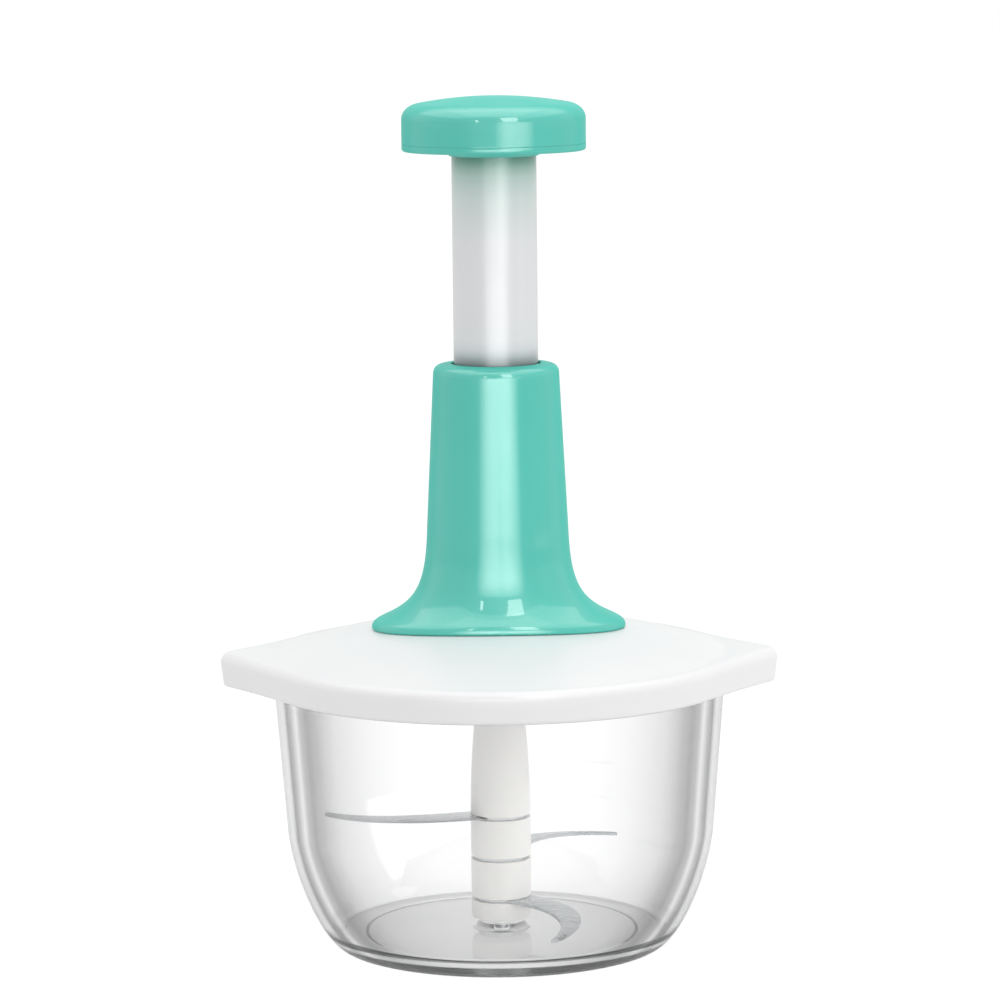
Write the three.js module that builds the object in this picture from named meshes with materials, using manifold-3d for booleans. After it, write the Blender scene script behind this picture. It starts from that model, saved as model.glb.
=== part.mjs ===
// Plunger food chopper: a clear bowl, a lifted-off lid with two side tabs, and a plunger whose
// twisted rod turns a stack of three blades each time the knob is pressed.
// Millimetres, +Z up, origin at the centre of the ring that the bowl stands on.
import * as THREE from "three";
import { mergeVertices } from "three/addons/utils/BufferGeometryUtils.js";
import Module from "manifold-3d";

const wasm = await Module();
wasm.setup();

// Clearances and mesh density shared by every piece
const gap = 0.3; // between two pieces that rest in or on each other
const runningGap = 0.4; // between a turning or sliding piece and its guide
const cutOverrun = 5; // how far a cutting solid runs past what it cuts
const wideSteps = 40; // facets round the bowl and the lid
const middleSteps = 24; // facets round the tower, tube and knob
const smallSteps = 18; // facets round shafts, bushes and spacers
const screwSteps = 8;
const weldTolerance = 1e-4; // points closer than this are one point

// Bowl
const bowlFootRadius = 58.3;
const bowlFootRing = 9.3; // width of the ring that it stands on
const bowlRecessDepth = 1;
const bowlFloor = 3.5;
const bowlWall = 3;
const bowlRimRadius = 80.4;
const bowlBellyInset = 4.3; // how much narrower the belly is than the rim
const bowlBellyHeight = 44;
const bowlHeight = 99.3;
const bowlBossRadius = 8;
const bowlBossHeight = 2.5;
const bowlCurveShares = [
  [0.35, 0.07],
  [0.95, 0.58],
]; // the two middle Bezier points, as shares of the belly's radius and height
const bowlCurveSteps = 7;

// Pivot pin that the blade stack turns on
const pinRadius = 3;
const pinLength = 14;
const pinSeatDepth = 4;
const pinChamfer = 0.8;

// Blade stack
const hubFloorGap = 1; // between the bowl's boss and the turning hub
const hubRadius = 10.7;
const hubHeight = 7;
const hubWeb = 1.7;
const hubChamfer = 1.2;
const postRadius = 7; // corner radius of the hexagonal post that drives the blades
const postOverlap = 11; // length of post inside the column
const bladeThickness = 1.2;
const bladeEyeInset = 1.1; // from the hub's outside to the blade's eye
const bladeSpacing = 13.8; // height of each spacer
const bladeTipInset = 16.1; // from the bowl's belly to the tip of the lower blade
const bladeReachStep = 2.5; // each blade above reaches this much further
const bladeRootWidth = 13;
const bladeTipWidth = 4;
const bladeBevel = 3.6;
const bladeEdge = 0.25; // thickness left at the sharpened edge
const bladeTipDrop = 3;
const bladeSweepAngle = THREE.MathUtils.degToRad(34);
const bladeSweepPower = 1.6;
const bladeStartShare = 0.75; // of the eye radius, where the arm starts
const bladeSections = 10;
const bladeTurnAngle = THREE.MathUtils.degToRad(120); // from each blade to the next above it
const firstBladeAngle = THREE.MathUtils.degToRad(-38);
const columnTopWall = 1.5; // round the corners of the drive socket
const socketDepth = 9.7;

// Drive line under the lid
const turnsPerPress = 2;
const rodWidth = 7;
const rodThickness = 2.6;
const rodReach = 7.5; // how far the rod's lower end reaches below the nut's slot
const rodStepAngle = THREE.MathUtils.degToRad(24); // turn between two sections of the rod
const slotStepAngle = THREE.MathUtils.degToRad(6); // the same in the nut's slot, which is finer
const rodBoreGap = 1; // round the rod inside the spindle, cap and column
const rodNeckRadius = 2.6;
const rodNeckLength = 11;
const housingBottomGap = 2.3; // from the column's top to the housing
const housingWall = 2.5;
const housingFloor = 3;
const housingFlangeInset = 2; // from the edge of the lid's pad to the flange's edge
const housingFlange = 2.5;
const bushLength = 6;
const bushWall = 2;
const journalRadius = 7.5;
const washerThickness = 1;
const spindleFlange = 3;
const spindleDriveStep = 0.5; // from the journal in to the corners of the hexagonal drive end
const spindleDriveLength = 9;
const circlipThickness = 1;
const circlipGrip = 1.5; // from the journal out to the circlip's edge
const grooveDepth = 0.8;
const toothCount = 12;
const toothHeight = 1;
const toothWidth = 4;
const toothBackShare = 0.12; // of a tooth's pitch, left free behind its upright face
const nutRadius = 11.8;
const nutSideGap = 2.2; // round the nut inside the housing
const nutHeight = 8.6;
const nutWeb = 3;
const nutLiftSpare = 0.2; // travel of the nut beyond the height of the teeth
const capThickness = 2.5;
const capRecess = 1;
const capLedge = 1.8; // width of the step that the cap rests on

// Lid
const lidSkirtDrop = 6.3; // from the bowl's rim to the skirt's lower edge
const lidBrimRise = 5.3; // from the bowl's rim to the top of the brim
const lidSkirtWall = 2.4;
const lidOverhang = 4; // from the bowl's rim to the lid's edge
const lidDraft = 0.8; // how much narrower the skirt is at its lower edge
const lidEdgeRadius = 3.3;
const lidLipRadius = 0.8;
const lidWall = 2.2;
const lidCreaseInset = 4.2; // from the lid's edge to where the domed top meets the raised brim
const lidCreaseDrop = 0.4; // from the top of the brim down to that circle
const lidDomeRadius = 265;
const lidPadRadius = 36;
const lidPadWall = 2.5; // of the dome over the edge of the flat pad below it
const lidSeatMargin = 1.3; // of the flat seat round the guide tube
const lidTabLength = 14.5; // from the lid's edge to the tip of each tab
const lidTabNose = 6.5; // radius of each tab's tip
const lidTabBlend = 400; // radius of its flanks, which are almost straight
const lidTabCrown = 0.5; // rise of the tab's top over the brim
const lidRibWall = 2.2;
const lidRibLip = 2; // from the skirt's lower edge up to the rib's
const lidRibGap = 0.6;
const lidHoleGap = 0.8; // round the plunger's stop flange
const sealThickness = 2.3;

// Tower on the lid
const towerHeight = 103.2; // over the lid's crease
const towerTaper = 2.9; // from the radius at the top to the radius at the waist
const towerWaistRise = 44.8; // from the lid's crease to where the flare starts
const towerFlareWidth = 20; // from the waist to the flared edge, to each side
const towerFlareDepth = 6.5; // the same to the front and to the back
const towerEdgeHeight = 4.1; // from the lid to where the flare rounds over into its edge
const towerEdgeInset = 3.7; // from the flared edge in to that line
const towerEdgeLand = 0.8; // upright strip below the rounding
const towerCrownRise = 0.8; // from the rounded shoulder to the mouth's edge
const towerShoulderRadius = 3.4;
const towerWall = 2.4;
const towerTopPlate = 3;
const towerMouthGap = 0.8; // dark ring round the tube
const towerFlareShares = [
  [0.043, 0.66],
  [0.274, 0.834],
]; // middle Bezier points of the flare, as shares of its width and drop
const towerFlareSteps = 6;
const towerEdgeShares = [
  [0.5, 0.25],
  [1, 0.5],
]; // the same of the rounded edge
const towerEdgeSteps = 3;
const towerBossRadius = 3.8;
const screwHoleRise = 17.3; // from the lid's crease to the end of the screw holes
const guideWall = 1.8;
const guideRibWidth = 3;
const guideRibHeight = 1;
const collarHeight = 7;

// Screws that hold the drive housing, the lid and the tower together
const screwX = 23;
const screwY = 11;
const screwRadius = 1.6;
const screwHeadRadius = 3;
const screwHeadHeight = 2.2;
const screwTopGap = 1.2; // unfilled depth of the boss over the screw's point
const screwRecess = 1;

// Plunger
const stroke = 70;
const pressGap = 2.7; // left between the knob's collar and the tower when pressed
const tubeRadius = 14.9;
const tubeWall = 1.8;
const stopFlange = 2.2; // from the tube's outside to the edge of the stop flange
const stopHeight = 3.2;
const damperHeight = 1.2;
const knobRadius = 32.3;
const knobBaseHeight = 2.5;
const knobSideHeight = 11.2; // from the underside to where the top edge starts to round
const knobHeadroom = 1.8; // over the rod's nut
const knobCrown = 2.5; // rise of the domed top
const knobCrownRadius = 27;
const knobEdgeShares = [
  [0, 0.5],
  [0.45, 0.88],
]; // middle Bezier points of the rounded edge, as shares of its width and height
const knobFloor = 1.7; // thickness of the base round the tube
const knobEdgeLand = 0.4; // upright strip between the rounded lower edge and the seam
const knobWall = 2.4;
const knobCollarWall = 1.6;
const knobCollarHeight = 1.7;
const knobPlateRise = 10; // from the underside to the top of the plate that holds the rod
const knobPlate = 3;
const knobSkirtWall = 2.5;
const knobSteps = 4;
const rodNutAcross = 8;
const rodNutHeight = 4;
const rodWasherRadius = 6;

// Return spring round the rod
const springSideGap = 1.35; // between the wire and the tube's inside
const springWire = 1.5;
const springTurns = 16;
const springEndTurns = 1; // closed turns at each end
const springStepsPerTurn = 8;
const springSides = 5;

const teal = { color: 0x55c4b4, roughness: 0.22, metalness: 0 };
const white = { color: 0xeeeff1, roughness: 0.25, metalness: 0 };
const pearl = { color: 0xdfe2e4, roughness: 0.35, metalness: 0 };
const clear = { color: 0xf2f6f7, roughness: 0.03, metalness: 0, transparent: true, opacity: 0.35 };
const steel = { color: 0xc9ccd0, roughness: 0.22, metalness: 1 };
const darkSteel = { color: 0x9a9ea3, roughness: 0.35, metalness: 1 };
const natural = { color: 0xe7e3d8, roughness: 0.5, metalness: 0 };
const silicone = { color: 0xe4e8ea, roughness: 0.6, metalness: 0 };

// A closed three.js geometry as a solid, and back
function solid(geometry) {
  const bare = geometry.index ? geometry.toNonIndexed() : geometry.clone();
  const points = new THREE.BufferGeometry();
  points.setAttribute("position", bare.getAttribute("position"));
  const merged = mergeVertices(points, weldTolerance);
  const made = new wasm.Manifold(
    new wasm.Mesh({
      numProp: 3,
      vertProperties: merged.attributes.position.array,
      triVerts: new Uint32Array(merged.index.array),
    }),
  );
  return made;
}

function geometryOf(body) {
  const mesh = body.getMesh();
  const positions = new Float32Array(mesh.numVert * 3);
  for (let i = 0; i < mesh.numVert; i++) {
    const start = i * mesh.numProp;
    positions.set(mesh.vertProperties.subarray(start, start + 3), i * 3);
  }
  const geometry = new THREE.BufferGeometry();
  geometry.setAttribute("position", new THREE.BufferAttribute(positions, 3));
  geometry.setIndex(new THREE.BufferAttribute(mesh.triVerts, 1));
  geometry.computeVertexNormals();
  return geometry;
}

// Turns a list of [radius, height] points into a body of revolution about Z.
// The outline is closed by itself, or starts and ends on the axis.
function revolve(outline, steps) {
  const ring = outline.map(([r, z]) => new THREE.Vector2(r, z));
  const turnsLeft = THREE.ShapeUtils.area(ring) > 0;
  const points = turnsLeft ? ring : ring.reverse();
  const onAxis = points.filter((p) => p.x === 0).length > 0;
  if (onAxis) {
    while (!(points[0].x === 0 && points[points.length - 1].x === 0)) points.push(points.shift());
  } else {
    points.push(points[0].clone());
  }
  return solid(new THREE.LatheGeometry(points, steps).rotateX(Math.PI / 2));
}

// A smooth curve from start to end, whose middle Bezier points are shares of its width and rise
function easedCurve(start, end, shares) {
  const span = end.clone().sub(start);
  const [first, second] = shares.map(([r, z]) => new THREE.Vector2(r * span.x, z * span.y).add(start));
  return new THREE.CubicBezierCurve(start, first, second, end);
}

function disc(radius, bottom, top, steps) {
  return revolve([[0, bottom], [radius, bottom], [radius, top], [0, top]], steps);
}

function tubeRing(inner, outer, bottom, top, steps) {
  return revolve([[inner, bottom], [outer, bottom], [outer, top], [inner, top]], steps);
}

function evenAzimuths(steps) {
  return Array.from({ length: steps }, (_, i) => (2 * Math.PI * i) / steps);
}

// A body between a lower and an upper pole, built from rows of points that share their azimuths.
// Each row is a function of the azimuth that gives [x, y, z].
function rowsBody(rows, azimuths, bottom, top) {
  const steps = azimuths.length;
  const positions = [0, 0, bottom];
  const faces = [];
  rows.forEach((row) => azimuths.forEach((azimuth) => positions.push(...row(azimuth))));
  positions.push(0, 0, top);
  const last = rows.length * steps + 1;
  for (let i = 0; i < steps; i++) {
    const next = (i + 1) % steps;
    faces.push(0, 1 + next, 1 + i);
    for (let k = 0; k + 1 < rows.length; k++) {
      const low = 1 + k * steps;
      const high = low + steps;
      faces.push(low + i, low + next, high + next, low + i, high + next, high + i);
    }
    faces.push(last, last - steps + i, last - steps + next);
  }
  const geometry = new THREE.BufferGeometry();
  geometry.setAttribute("position", new THREE.Float32BufferAttribute(positions, 3));
  geometry.setIndex(faces);
  return solid(geometry);
}

// A body swept through equal closed sections, each a list of [x, y, z] points
function sectionsBody(sections) {
  const sides = sections[0].length;
  const faces = [];
  for (let k = 0; k + 1 < sections.length; k++) {
    for (let i = 0; i < sides; i++) {
      const low = k * sides;
      const high = low + sides;
      const next = (i + 1) % sides;
      faces.push(low + i, low + next, high + next, low + i, high + next, high + i);
    }
  }
  const end = (sections.length - 1) * sides;
  for (let i = 1; i + 1 < sides; i++) {
    faces.push(0, i + 1, i);
    faces.push(end, end + i, end + i + 1);
  }
  const geometry = new THREE.BufferGeometry();
  geometry.setAttribute("position", new THREE.Float32BufferAttribute(sections.flat(2), 3));
  geometry.setIndex(faces);
  return solid(geometry);
}

function hexagonBody(cornerRadius, bottom, top) {
  return revolve([[0, bottom], [cornerRadius, bottom], [cornerRadius, top], [0, top]], 6);
}

function turned(body, angle) {
  return body.rotate([0, 0, THREE.MathUtils.radToDeg(angle)]);
}

const root = new THREE.Group();
root.name = "food_chopper";

function add(name, body, finish) {
  const mesh = new THREE.Mesh(geometryOf(body), new THREE.MeshStandardMaterial(finish));
  mesh.name = name;
  root.add(mesh);
}

// Sizes that follow from the ones above: the bowl and what turns in it
const bowlRecessRadius = bowlFootRadius - bowlFootRing;
const bowlBellyRadius = bowlRimRadius - bowlBellyInset;
const bowlInnerRim = bowlRimRadius - bowlWall;
const bowlFloorTop = bowlRecessDepth + bowlFloor;
const bowlBossTop = bowlFloorTop + bowlBossHeight;
const pinBottom = bowlBossTop - pinSeatDepth;
const pinTop = pinBottom + pinLength;
const hubBottom = bowlBossTop + hubFloorGap;
const hubTop = hubBottom + hubHeight;
const bladeEyeRadius = hubRadius - bladeEyeInset;
const bladeReach = bowlBellyRadius - bladeTipInset; // from the axis to the tip of the lower blade
const spacerTop = (level) => hubTop + (level + 1) * bladeThickness + level * bladeSpacing;
const columnBottom = spacerTop(2);
const postTop = columnBottom + postOverlap;

// The plunger's tube and what it slides in
const stopRadius = tubeRadius + stopFlange;
const stopBore = stopRadius + runningGap;
const guideOuter = stopBore + guideWall;
const towerBore = guideOuter + runningGap;
const towerTopRadius = towerBore + towerWall;
const towerWaistRadius = towerTopRadius + towerTaper;
const towerBaseHalfWidth = towerWaistRadius + towerFlareWidth;
const towerBaseHalfDepth = towerWaistRadius + towerFlareDepth;

// The lid, which sits on the bowl's rim
const lidRadius = bowlRimRadius + lidOverhang;
const lidTabReach = lidRadius + lidTabLength;
const lidCreaseRadius = lidRadius - lidCreaseInset;
const lidSeatRadius = guideOuter + lidSeatMargin;
const lidSkirtBottom = bowlHeight - lidSkirtDrop;
const lidRibBottom = lidSkirtBottom + lidRibLip;
const lidBrimTop = bowlHeight + lidBrimRise;
const lidCreaseHeight = lidBrimTop - lidCreaseDrop;

// Height of the lid's domed top over a distance from the axis
function domeHeight(r) {
  const sphere = (distance) => Math.sqrt(lidDomeRadius ** 2 - distance ** 2);
  return lidCreaseHeight + sphere(r) - sphere(lidCreaseRadius);
}
const lidSeatTop = domeHeight(lidSeatRadius);
const lidPadBottom = domeHeight(lidPadRadius) - lidPadWall;

// The drive line, which hangs under the lid: from the clutch cap down to the blade column
const nutLift = toothHeight + nutLiftSpare;
const capTop = lidPadBottom;
const capBottom = capTop - capThickness;
const nutTop = capBottom - nutLift - runningGap;
const nutBottom = nutTop - nutHeight;
const spindleFlangeTop = nutBottom - toothHeight - gap;
const spindleFlangeBottom = spindleFlangeTop - spindleFlange;
const bushTop = spindleFlangeBottom - washerThickness;
const housingBottom = bushTop - bushLength;
const columnTopHeight = housingBottom - housingBottomGap;
const socketBottom = columnTopHeight - socketDepth;
const toothOuterRadius = nutRadius - runningGap;
const toothInnerRadius = toothOuterRadius - toothWidth;
const spindleFlangeRadius = nutRadius + 2 * gap;
const washerRadius = spindleFlangeRadius - runningGap;
const spindleDriveRadius = journalRadius - spindleDriveStep;
const columnTopRadius = spindleDriveRadius + gap + columnTopWall;
const circlipRadius = journalRadius + circlipGrip;
const bushRadius = journalRadius + runningGap / 2 + bushWall;
const housingBore = nutRadius + nutSideGap;
const housingRadius = housingBore + housingWall;
const housingFlangeRadius = lidPadRadius - housingFlangeInset;
const rodCorner = Math.hypot(rodWidth, rodThickness) / 2;
const rodBore = rodCorner + rodBoreGap;
const rodLead = stroke / turnsPerPress; // height in which the rod makes one turn
const rodLowEnd = nutTop - nutWeb - rodReach;

// Heights of the tower and of the plunger, which stands up from it
const towerTop = lidCreaseHeight + towerHeight;
const towerWaistHeight = lidCreaseHeight + towerWaistRise;
const screwHoleTop = lidCreaseHeight + screwHoleRise;
const collarTop = towerTop - towerTopPlate;
const collarBottom = collarTop - collarHeight;
const stopTop = collarBottom - gap - damperHeight;
const tubeBottom = stopTop - stopHeight;
const knobBottom = towerTop + stroke + pressGap + knobCollarHeight;
const knobPlateTop = knobBottom + knobPlateRise;
const knobPlateBottom = knobPlateTop - knobPlate;
const knobSeam = knobBottom + knobBaseHeight;
const knobCorner = knobBaseHeight - knobEdgeLand;
const knobTop = knobPlateTop + washerThickness + rodNutHeight + knobHeadroom + knobWall;
const knobCollarRadius = tubeRadius + knobCollarWall;
const springRadius = tubeRadius - tubeWall - springSideGap - springWire / 2; // to the wire's centre

// Bowl

function bowlOutline() {
  const foot = new THREE.Vector2(bowlFootRadius, 0);
  const belly = new THREE.Vector2(bowlBellyRadius, bowlBellyHeight);
  const curve = easedCurve(foot, belly, bowlCurveShares);
  const outer = curve.getPoints(bowlCurveSteps);
  const inner = outer.map((p, i) => {
    const tangent = curve.getTangent(i / bowlCurveSteps);
    return [p.x - tangent.y * bowlWall, p.y + tangent.x * bowlWall];
  });
  const side = inner.filter((p) => p[1] > bowlFloorTop + gap);
  const slope = (side[1][0] - side[0][0]) / (side[1][1] - side[0][1]);
  const floorRadius = side[0][0] - (side[0][1] - bowlFloorTop) * slope;
  const lip = bowlWall / 4;
  return [
    [0, bowlRecessDepth],
    [bowlRecessRadius - bowlRecessDepth, bowlRecessDepth],
    [bowlRecessRadius, 0],
    ...outer.map((p) => [p.x, p.y]),
    [bowlRimRadius, bowlHeight - lip],
    [bowlRimRadius - lip, bowlHeight],
    [bowlInnerRim + lip, bowlHeight],
    [bowlInnerRim, bowlHeight - lip],
    ...side.reverse(),
    [floorRadius, bowlFloorTop],
    [bowlBossRadius + bowlBossHeight / 2, bowlFloorTop],
    [bowlBossRadius, bowlBossTop],
    [pinRadius + gap, bowlBossTop],
    [pinRadius + gap, pinBottom],
    [0, pinBottom],
  ];
}

function buildBowl() {
  add("bowl", revolve(bowlOutline(), wideSteps), clear);
  const pin = revolve(
    [
      [0, pinBottom],
      [pinRadius, pinBottom],
      [pinRadius, pinTop - pinChamfer],
      [pinRadius - pinChamfer, pinTop],
      [0, pinTop],
    ],
    smallSteps,
  );
  add("pivot_pin", pin, steel);
}

// Blade stack

function bladeBody(reach) {
  const start = bladeEyeRadius * bladeStartShare;
  const sections = [];
  for (let k = 0; k <= bladeSections; k++) {
    const share = k / bladeSections;
    const radius = start + (reach - start) * share;
    const lag = -bladeSweepAngle * share ** bladeSweepPower;
    const width = bladeRootWidth + (bladeTipWidth - bladeRootWidth) * share ** 2;
    const drop = bladeTipDrop * Math.max(0, share - 1 / bladeSections) ** 2;
    const bevel = Math.min(bladeBevel, width / 2);
    const across = [
      [-width / 2, 0],
      [width / 2 - bevel, 0],
      [width / 2, (bladeThickness - bladeEdge) / 2],
      [width / 2, (bladeThickness + bladeEdge) / 2],
      [width / 2 - bevel, bladeThickness],
      [-width / 2, bladeThickness],
    ];
    const cosine = Math.cos(lag);
    const sine = Math.sin(lag);
    sections.push(
      across.map(([y, z]) => [radius * cosine - y * sine, radius * sine + y * cosine, z - drop]),
    );
  }
  return sectionsBody(sections).add(disc(bladeEyeRadius, 0, bladeThickness, smallSteps));
}

function buildBladeStack() {
  const names = ["lower", "middle", "upper"];
  const pinBore = disc(pinRadius + gap, hubBottom - cutOverrun, pinTop + gap, smallSteps);
  const rodWell = disc(rodBore, pinTop + gap + hubWeb, postTop + cutOverrun, smallSteps);
  const hub = revolve(
    [
      [0, hubBottom],
      [hubRadius - hubChamfer, hubBottom],
      [hubRadius, hubBottom + hubChamfer],
      [hubRadius, hubTop],
      [0, hubTop],
    ],
    smallSteps,
  );
  const post = hexagonBody(postRadius, hubTop - hubHeight / 2, postTop);
  add("bottom_hub", hub.add(post).subtract(pinBore).subtract(rodWell), white);

  const eyeHole = hexagonBody(postRadius + gap, hubBottom, postTop + gap);
  names.forEach((name, level) => {
    const bottom = spacerTop(level) - bladeThickness;
    const turn = firstBladeAngle + level * bladeTurnAngle;
    const arm = turned(bladeBody(bladeReach + level * bladeReachStep), turn);
    add(`${name}_blade`, arm.translate([0, 0, bottom]).subtract(eyeHole), steel);
    if (level + 1 < names.length) {
      const spacer = disc(hubRadius, spacerTop(level), spacerTop(level) + bladeSpacing, smallSteps);
      add(`${name}_spacer`, spacer.subtract(eyeHole), white);
    }
  });

  const column = revolve(
    [
      [0, columnBottom],
      [hubRadius, columnBottom],
      [columnTopRadius, columnTopHeight],
      [0, columnTopHeight],
    ],
    middleSteps,
  );
  const through = disc(rodBore, postTop - cutOverrun, socketBottom + cutOverrun, smallSteps);
  const driveSocket = hexagonBody(spindleDriveRadius + gap, socketBottom, columnTopHeight + cutOverrun);
  add("blade_column", column.subtract(eyeHole).subtract(through).subtract(driveSocket), white);
}

// Drive line

// One ring of saw teeth standing on z = 0: each rises along a ramp and falls on an upright face
function sawTeeth(backShare) {
  const pitch = (2 * Math.PI) / toothCount;
  const rise = pitch * (1 - backShare);
  const foot = -toothHeight / 2; // roots sink into the ring that carries them
  const point = (radius, angle, z) => [radius * Math.cos(angle), radius * Math.sin(angle), z];
  const across = (angle, top) => [
    point(toothInnerRadius, angle, foot),
    point(toothOuterRadius, angle, foot),
    point(toothOuterRadius, angle, top),
    point(toothInnerRadius, angle, top),
  ];
  const thin = toothHeight / 10;
  let ring = null;
  for (let k = 0; k < toothCount; k++) {
    const angle = k * pitch;
    const ramp = (share) => across(angle + rise * share, thin + (toothHeight - thin) * share);
    const tooth = sectionsBody([1, 0.5, 0].map(ramp));
    ring = ring ? ring.add(tooth) : tooth;
  }
  return ring;
}

// The rod's bar between two heights, turning once in each lead; flare widens it towards its ends
function twistedBar(width, thickness, endThickness, bottom, top, stepAngle) {
  const turn = (2 * Math.PI) / rodLead;
  const count = Math.ceil(((top - bottom) * turn) / stepAngle);
  const corners = [
    [width / 2, -endThickness / 2],
    [width / 2, endThickness / 2],
    [0, thickness / 2],
    [-width / 2, endThickness / 2],
    [-width / 2, -endThickness / 2],
    [0, -thickness / 2],
  ];
  const sections = [];
  for (let k = 0; k <= count; k++) {
    const z = bottom + ((top - bottom) * k) / count;
    const angle = (z - rodLowEnd) * turn;
    sections.push(
      corners.map(([x, y]) => [
        x * Math.cos(angle) - y * Math.sin(angle),
        x * Math.sin(angle) + y * Math.cos(angle),
        z,
      ]),
    );
  }
  return sectionsBody(sections);
}

function buildSpindle() {
  const bodyOutline = [
    [0, housingBottom - gap],
    [journalRadius, housingBottom - gap],
    [journalRadius, spindleFlangeBottom],
    [spindleFlangeRadius, spindleFlangeBottom],
    [spindleFlangeRadius, spindleFlangeTop],
    [0, spindleFlangeTop],
  ];
  const grooveBottom = housingBottom - gap - circlipThickness - gap;
  const neck = disc(journalRadius - grooveDepth, grooveBottom, housingBottom, smallSteps);
  const driveTop = grooveBottom + gap;
  const driveBottom = driveTop - spindleDriveLength;
  const drive = hexagonBody(spindleDriveRadius, driveBottom, driveTop);
  const teeth = sawTeeth(toothBackShare).translate([0, 0, spindleFlangeTop]);
  const bore = disc(rodBore, driveBottom - cutOverrun, spindleFlangeTop + cutOverrun, smallSteps);
  const spindle = revolve(bodyOutline, smallSteps).add(neck).add(drive).add(teeth).subtract(bore);
  add("drive_spindle", spindle, natural);

  const clipTop = housingBottom - gap;
  const neckRadius = journalRadius - grooveDepth;
  const clip = tubeRing(neckRadius + gap, circlipRadius, clipTop - circlipThickness, clipTop, smallSteps);
  const mouth = new THREE.BoxGeometry(circlipRadius + cutOverrun, neckRadius, cutOverrun);
  mouth.translate((circlipRadius + cutOverrun) / 2, 0, clipTop);
  add("spindle_circlip", clip.subtract(solid(mouth)), darkSteel);
}

function buildNut() {
  const slotWiden = (rodWidth / 2) * Math.tan((nutLift / rodLead) * 2 * Math.PI);
  const slot = twistedBar(
    rodWidth + 2 * gap,
    rodThickness + 2 * gap,
    rodThickness + 2 * gap + 2 * slotWiden,
    nutTop - nutWeb - runningGap,
    nutTop + runningGap,
    slotStepAngle,
  );
  const well = disc(rodBore + gap, nutBottom - cutOverrun, nutTop - nutWeb, smallSteps);
  const pitch = (2 * Math.PI) / toothCount;
  const pitchDegrees = THREE.MathUtils.radToDeg(pitch);
  const teeth = sawTeeth(2 * toothBackShare)
    .rotate([180, 0, 0])
    .rotate([0, 0, pitchDegrees * (1 - toothBackShare / 2)])
    .translate([0, 0, nutBottom]);
  const nut = disc(nutRadius, nutBottom, nutTop, smallSteps).add(teeth).subtract(well).subtract(slot);
  add("drive_nut", nut, natural);
}

function screwSpots() {
  return [[1, 1], [-1, 1], [-1, -1], [1, -1]].map(([x, y]) => [x * screwX, y * screwY]);
}

function drilled(body, radius, bottom, top) {
  const hole = disc(radius, bottom - cutOverrun, top + cutOverrun, screwSteps);
  return screwSpots().reduce((left, [x, y]) => left.subtract(hole.translate([x, y, 0])), body);
}

function buildHousing() {
  const flangeBottom = capTop - housingFlange;
  const fillet = housingWall;
  const outline = [
    [bushRadius + gap, housingBottom],
    [housingRadius - fillet / 2, housingBottom],
    [housingRadius, housingBottom + fillet / 2],
    [housingRadius, flangeBottom - fillet],
    [housingRadius + fillet, flangeBottom],
    [housingFlangeRadius, flangeBottom],
    [housingFlangeRadius, capTop],
    [housingBore + capLedge, capTop],
    [housingBore + capLedge, capBottom],
    [housingBore, capBottom],
    [housingBore, housingBottom + housingFloor],
    [bushRadius + bushWall, housingBottom + housingFloor],
    [bushRadius + bushWall, bushTop],
    [bushRadius + gap, bushTop],
  ];
  const shell = revolve(outline, middleSteps);
  add("drive_housing", drilled(shell, screwRadius + gap, flangeBottom, capTop), white);
  const bushBore = journalRadius + runningGap / 2;
  add("spindle_bush", tubeRing(bushBore, bushRadius, housingBottom, bushTop, smallSteps), natural);
  const washer = tubeRing(bushBore, washerRadius, bushTop, spindleFlangeBottom, smallSteps);
  add("thrust_washer", washer, steel);
  const capRadius = housingBore + capLedge - gap;
  const seatRadius = springRadius - springWire;
  const cap = revolve(
    [
      [rodBore, capBottom],
      [capRadius, capBottom],
      [capRadius, capTop],
      [seatRadius, capTop],
      [seatRadius, capTop + capRecess],
      [rodBore, capTop + capRecess],
    ],
    middleSteps,
  );
  add("clutch_cap", cap, white);
}

// Lid

// The tabs' outline: a nose arc at each side, joined to the lid's circle by hollow flanks
function tabArcs() {
  const noseCentre = lidTabReach - lidTabNose;
  const far = lidRadius + lidTabBlend;
  const near = lidTabNose + lidTabBlend;
  const blendX = (far ** 2 - near ** 2 + noseCentre ** 2) / (2 * noseCentre);
  const blendY = Math.sqrt(far ** 2 - blendX ** 2);
  const noseX = noseCentre + ((blendX - noseCentre) * lidTabNose) / near;
  const noseY = (blendY * lidTabNose) / near;
  return {
    noseCentre,
    blendX,
    blendY,
    noseEnd: Math.atan2(noseY, noseX),
    flankEnd: Math.atan2(blendY, blendX),
  };
}

// Distance from the axis to the lid's outer edge
function lidEdge(azimuth) {
  const { noseCentre, blendX, blendY, noseEnd, flankEnd } = tabArcs();
  const x = Math.abs(Math.cos(azimuth));
  const y = Math.abs(Math.sin(azimuth));
  const angle = Math.atan2(y, x);
  if (angle >= flankEnd) return lidRadius;
  const [cx, cy, radius, side] = angle <= noseEnd
    ? [noseCentre, 0, lidTabNose, 1]
    : [blendX, blendY, lidTabBlend, -1];
  const along = cx * x + cy * y;
  return along + side * Math.sqrt(along ** 2 - cx ** 2 - cy ** 2 + radius ** 2);
}

// Azimuths of the lid's points, closer together round the tabs
function lidAzimuths() {
  const { noseEnd, flankEnd } = tabArcs();
  const stretches = [[0, noseEnd, 3], [noseEnd, flankEnd, 5], [flankEnd, Math.PI / 2, 8]];
  const quarter = stretches.flatMap(([from, to, steps]) =>
    Array.from({ length: steps }, (_, i) => from + ((to - from) * i) / steps),
  );
  const half = [...quarter, Math.PI / 2, ...quarter.slice(1).reverse().map((angle) => Math.PI - angle)];
  return [...half, ...half.map((angle) => angle + Math.PI)];
}

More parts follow.
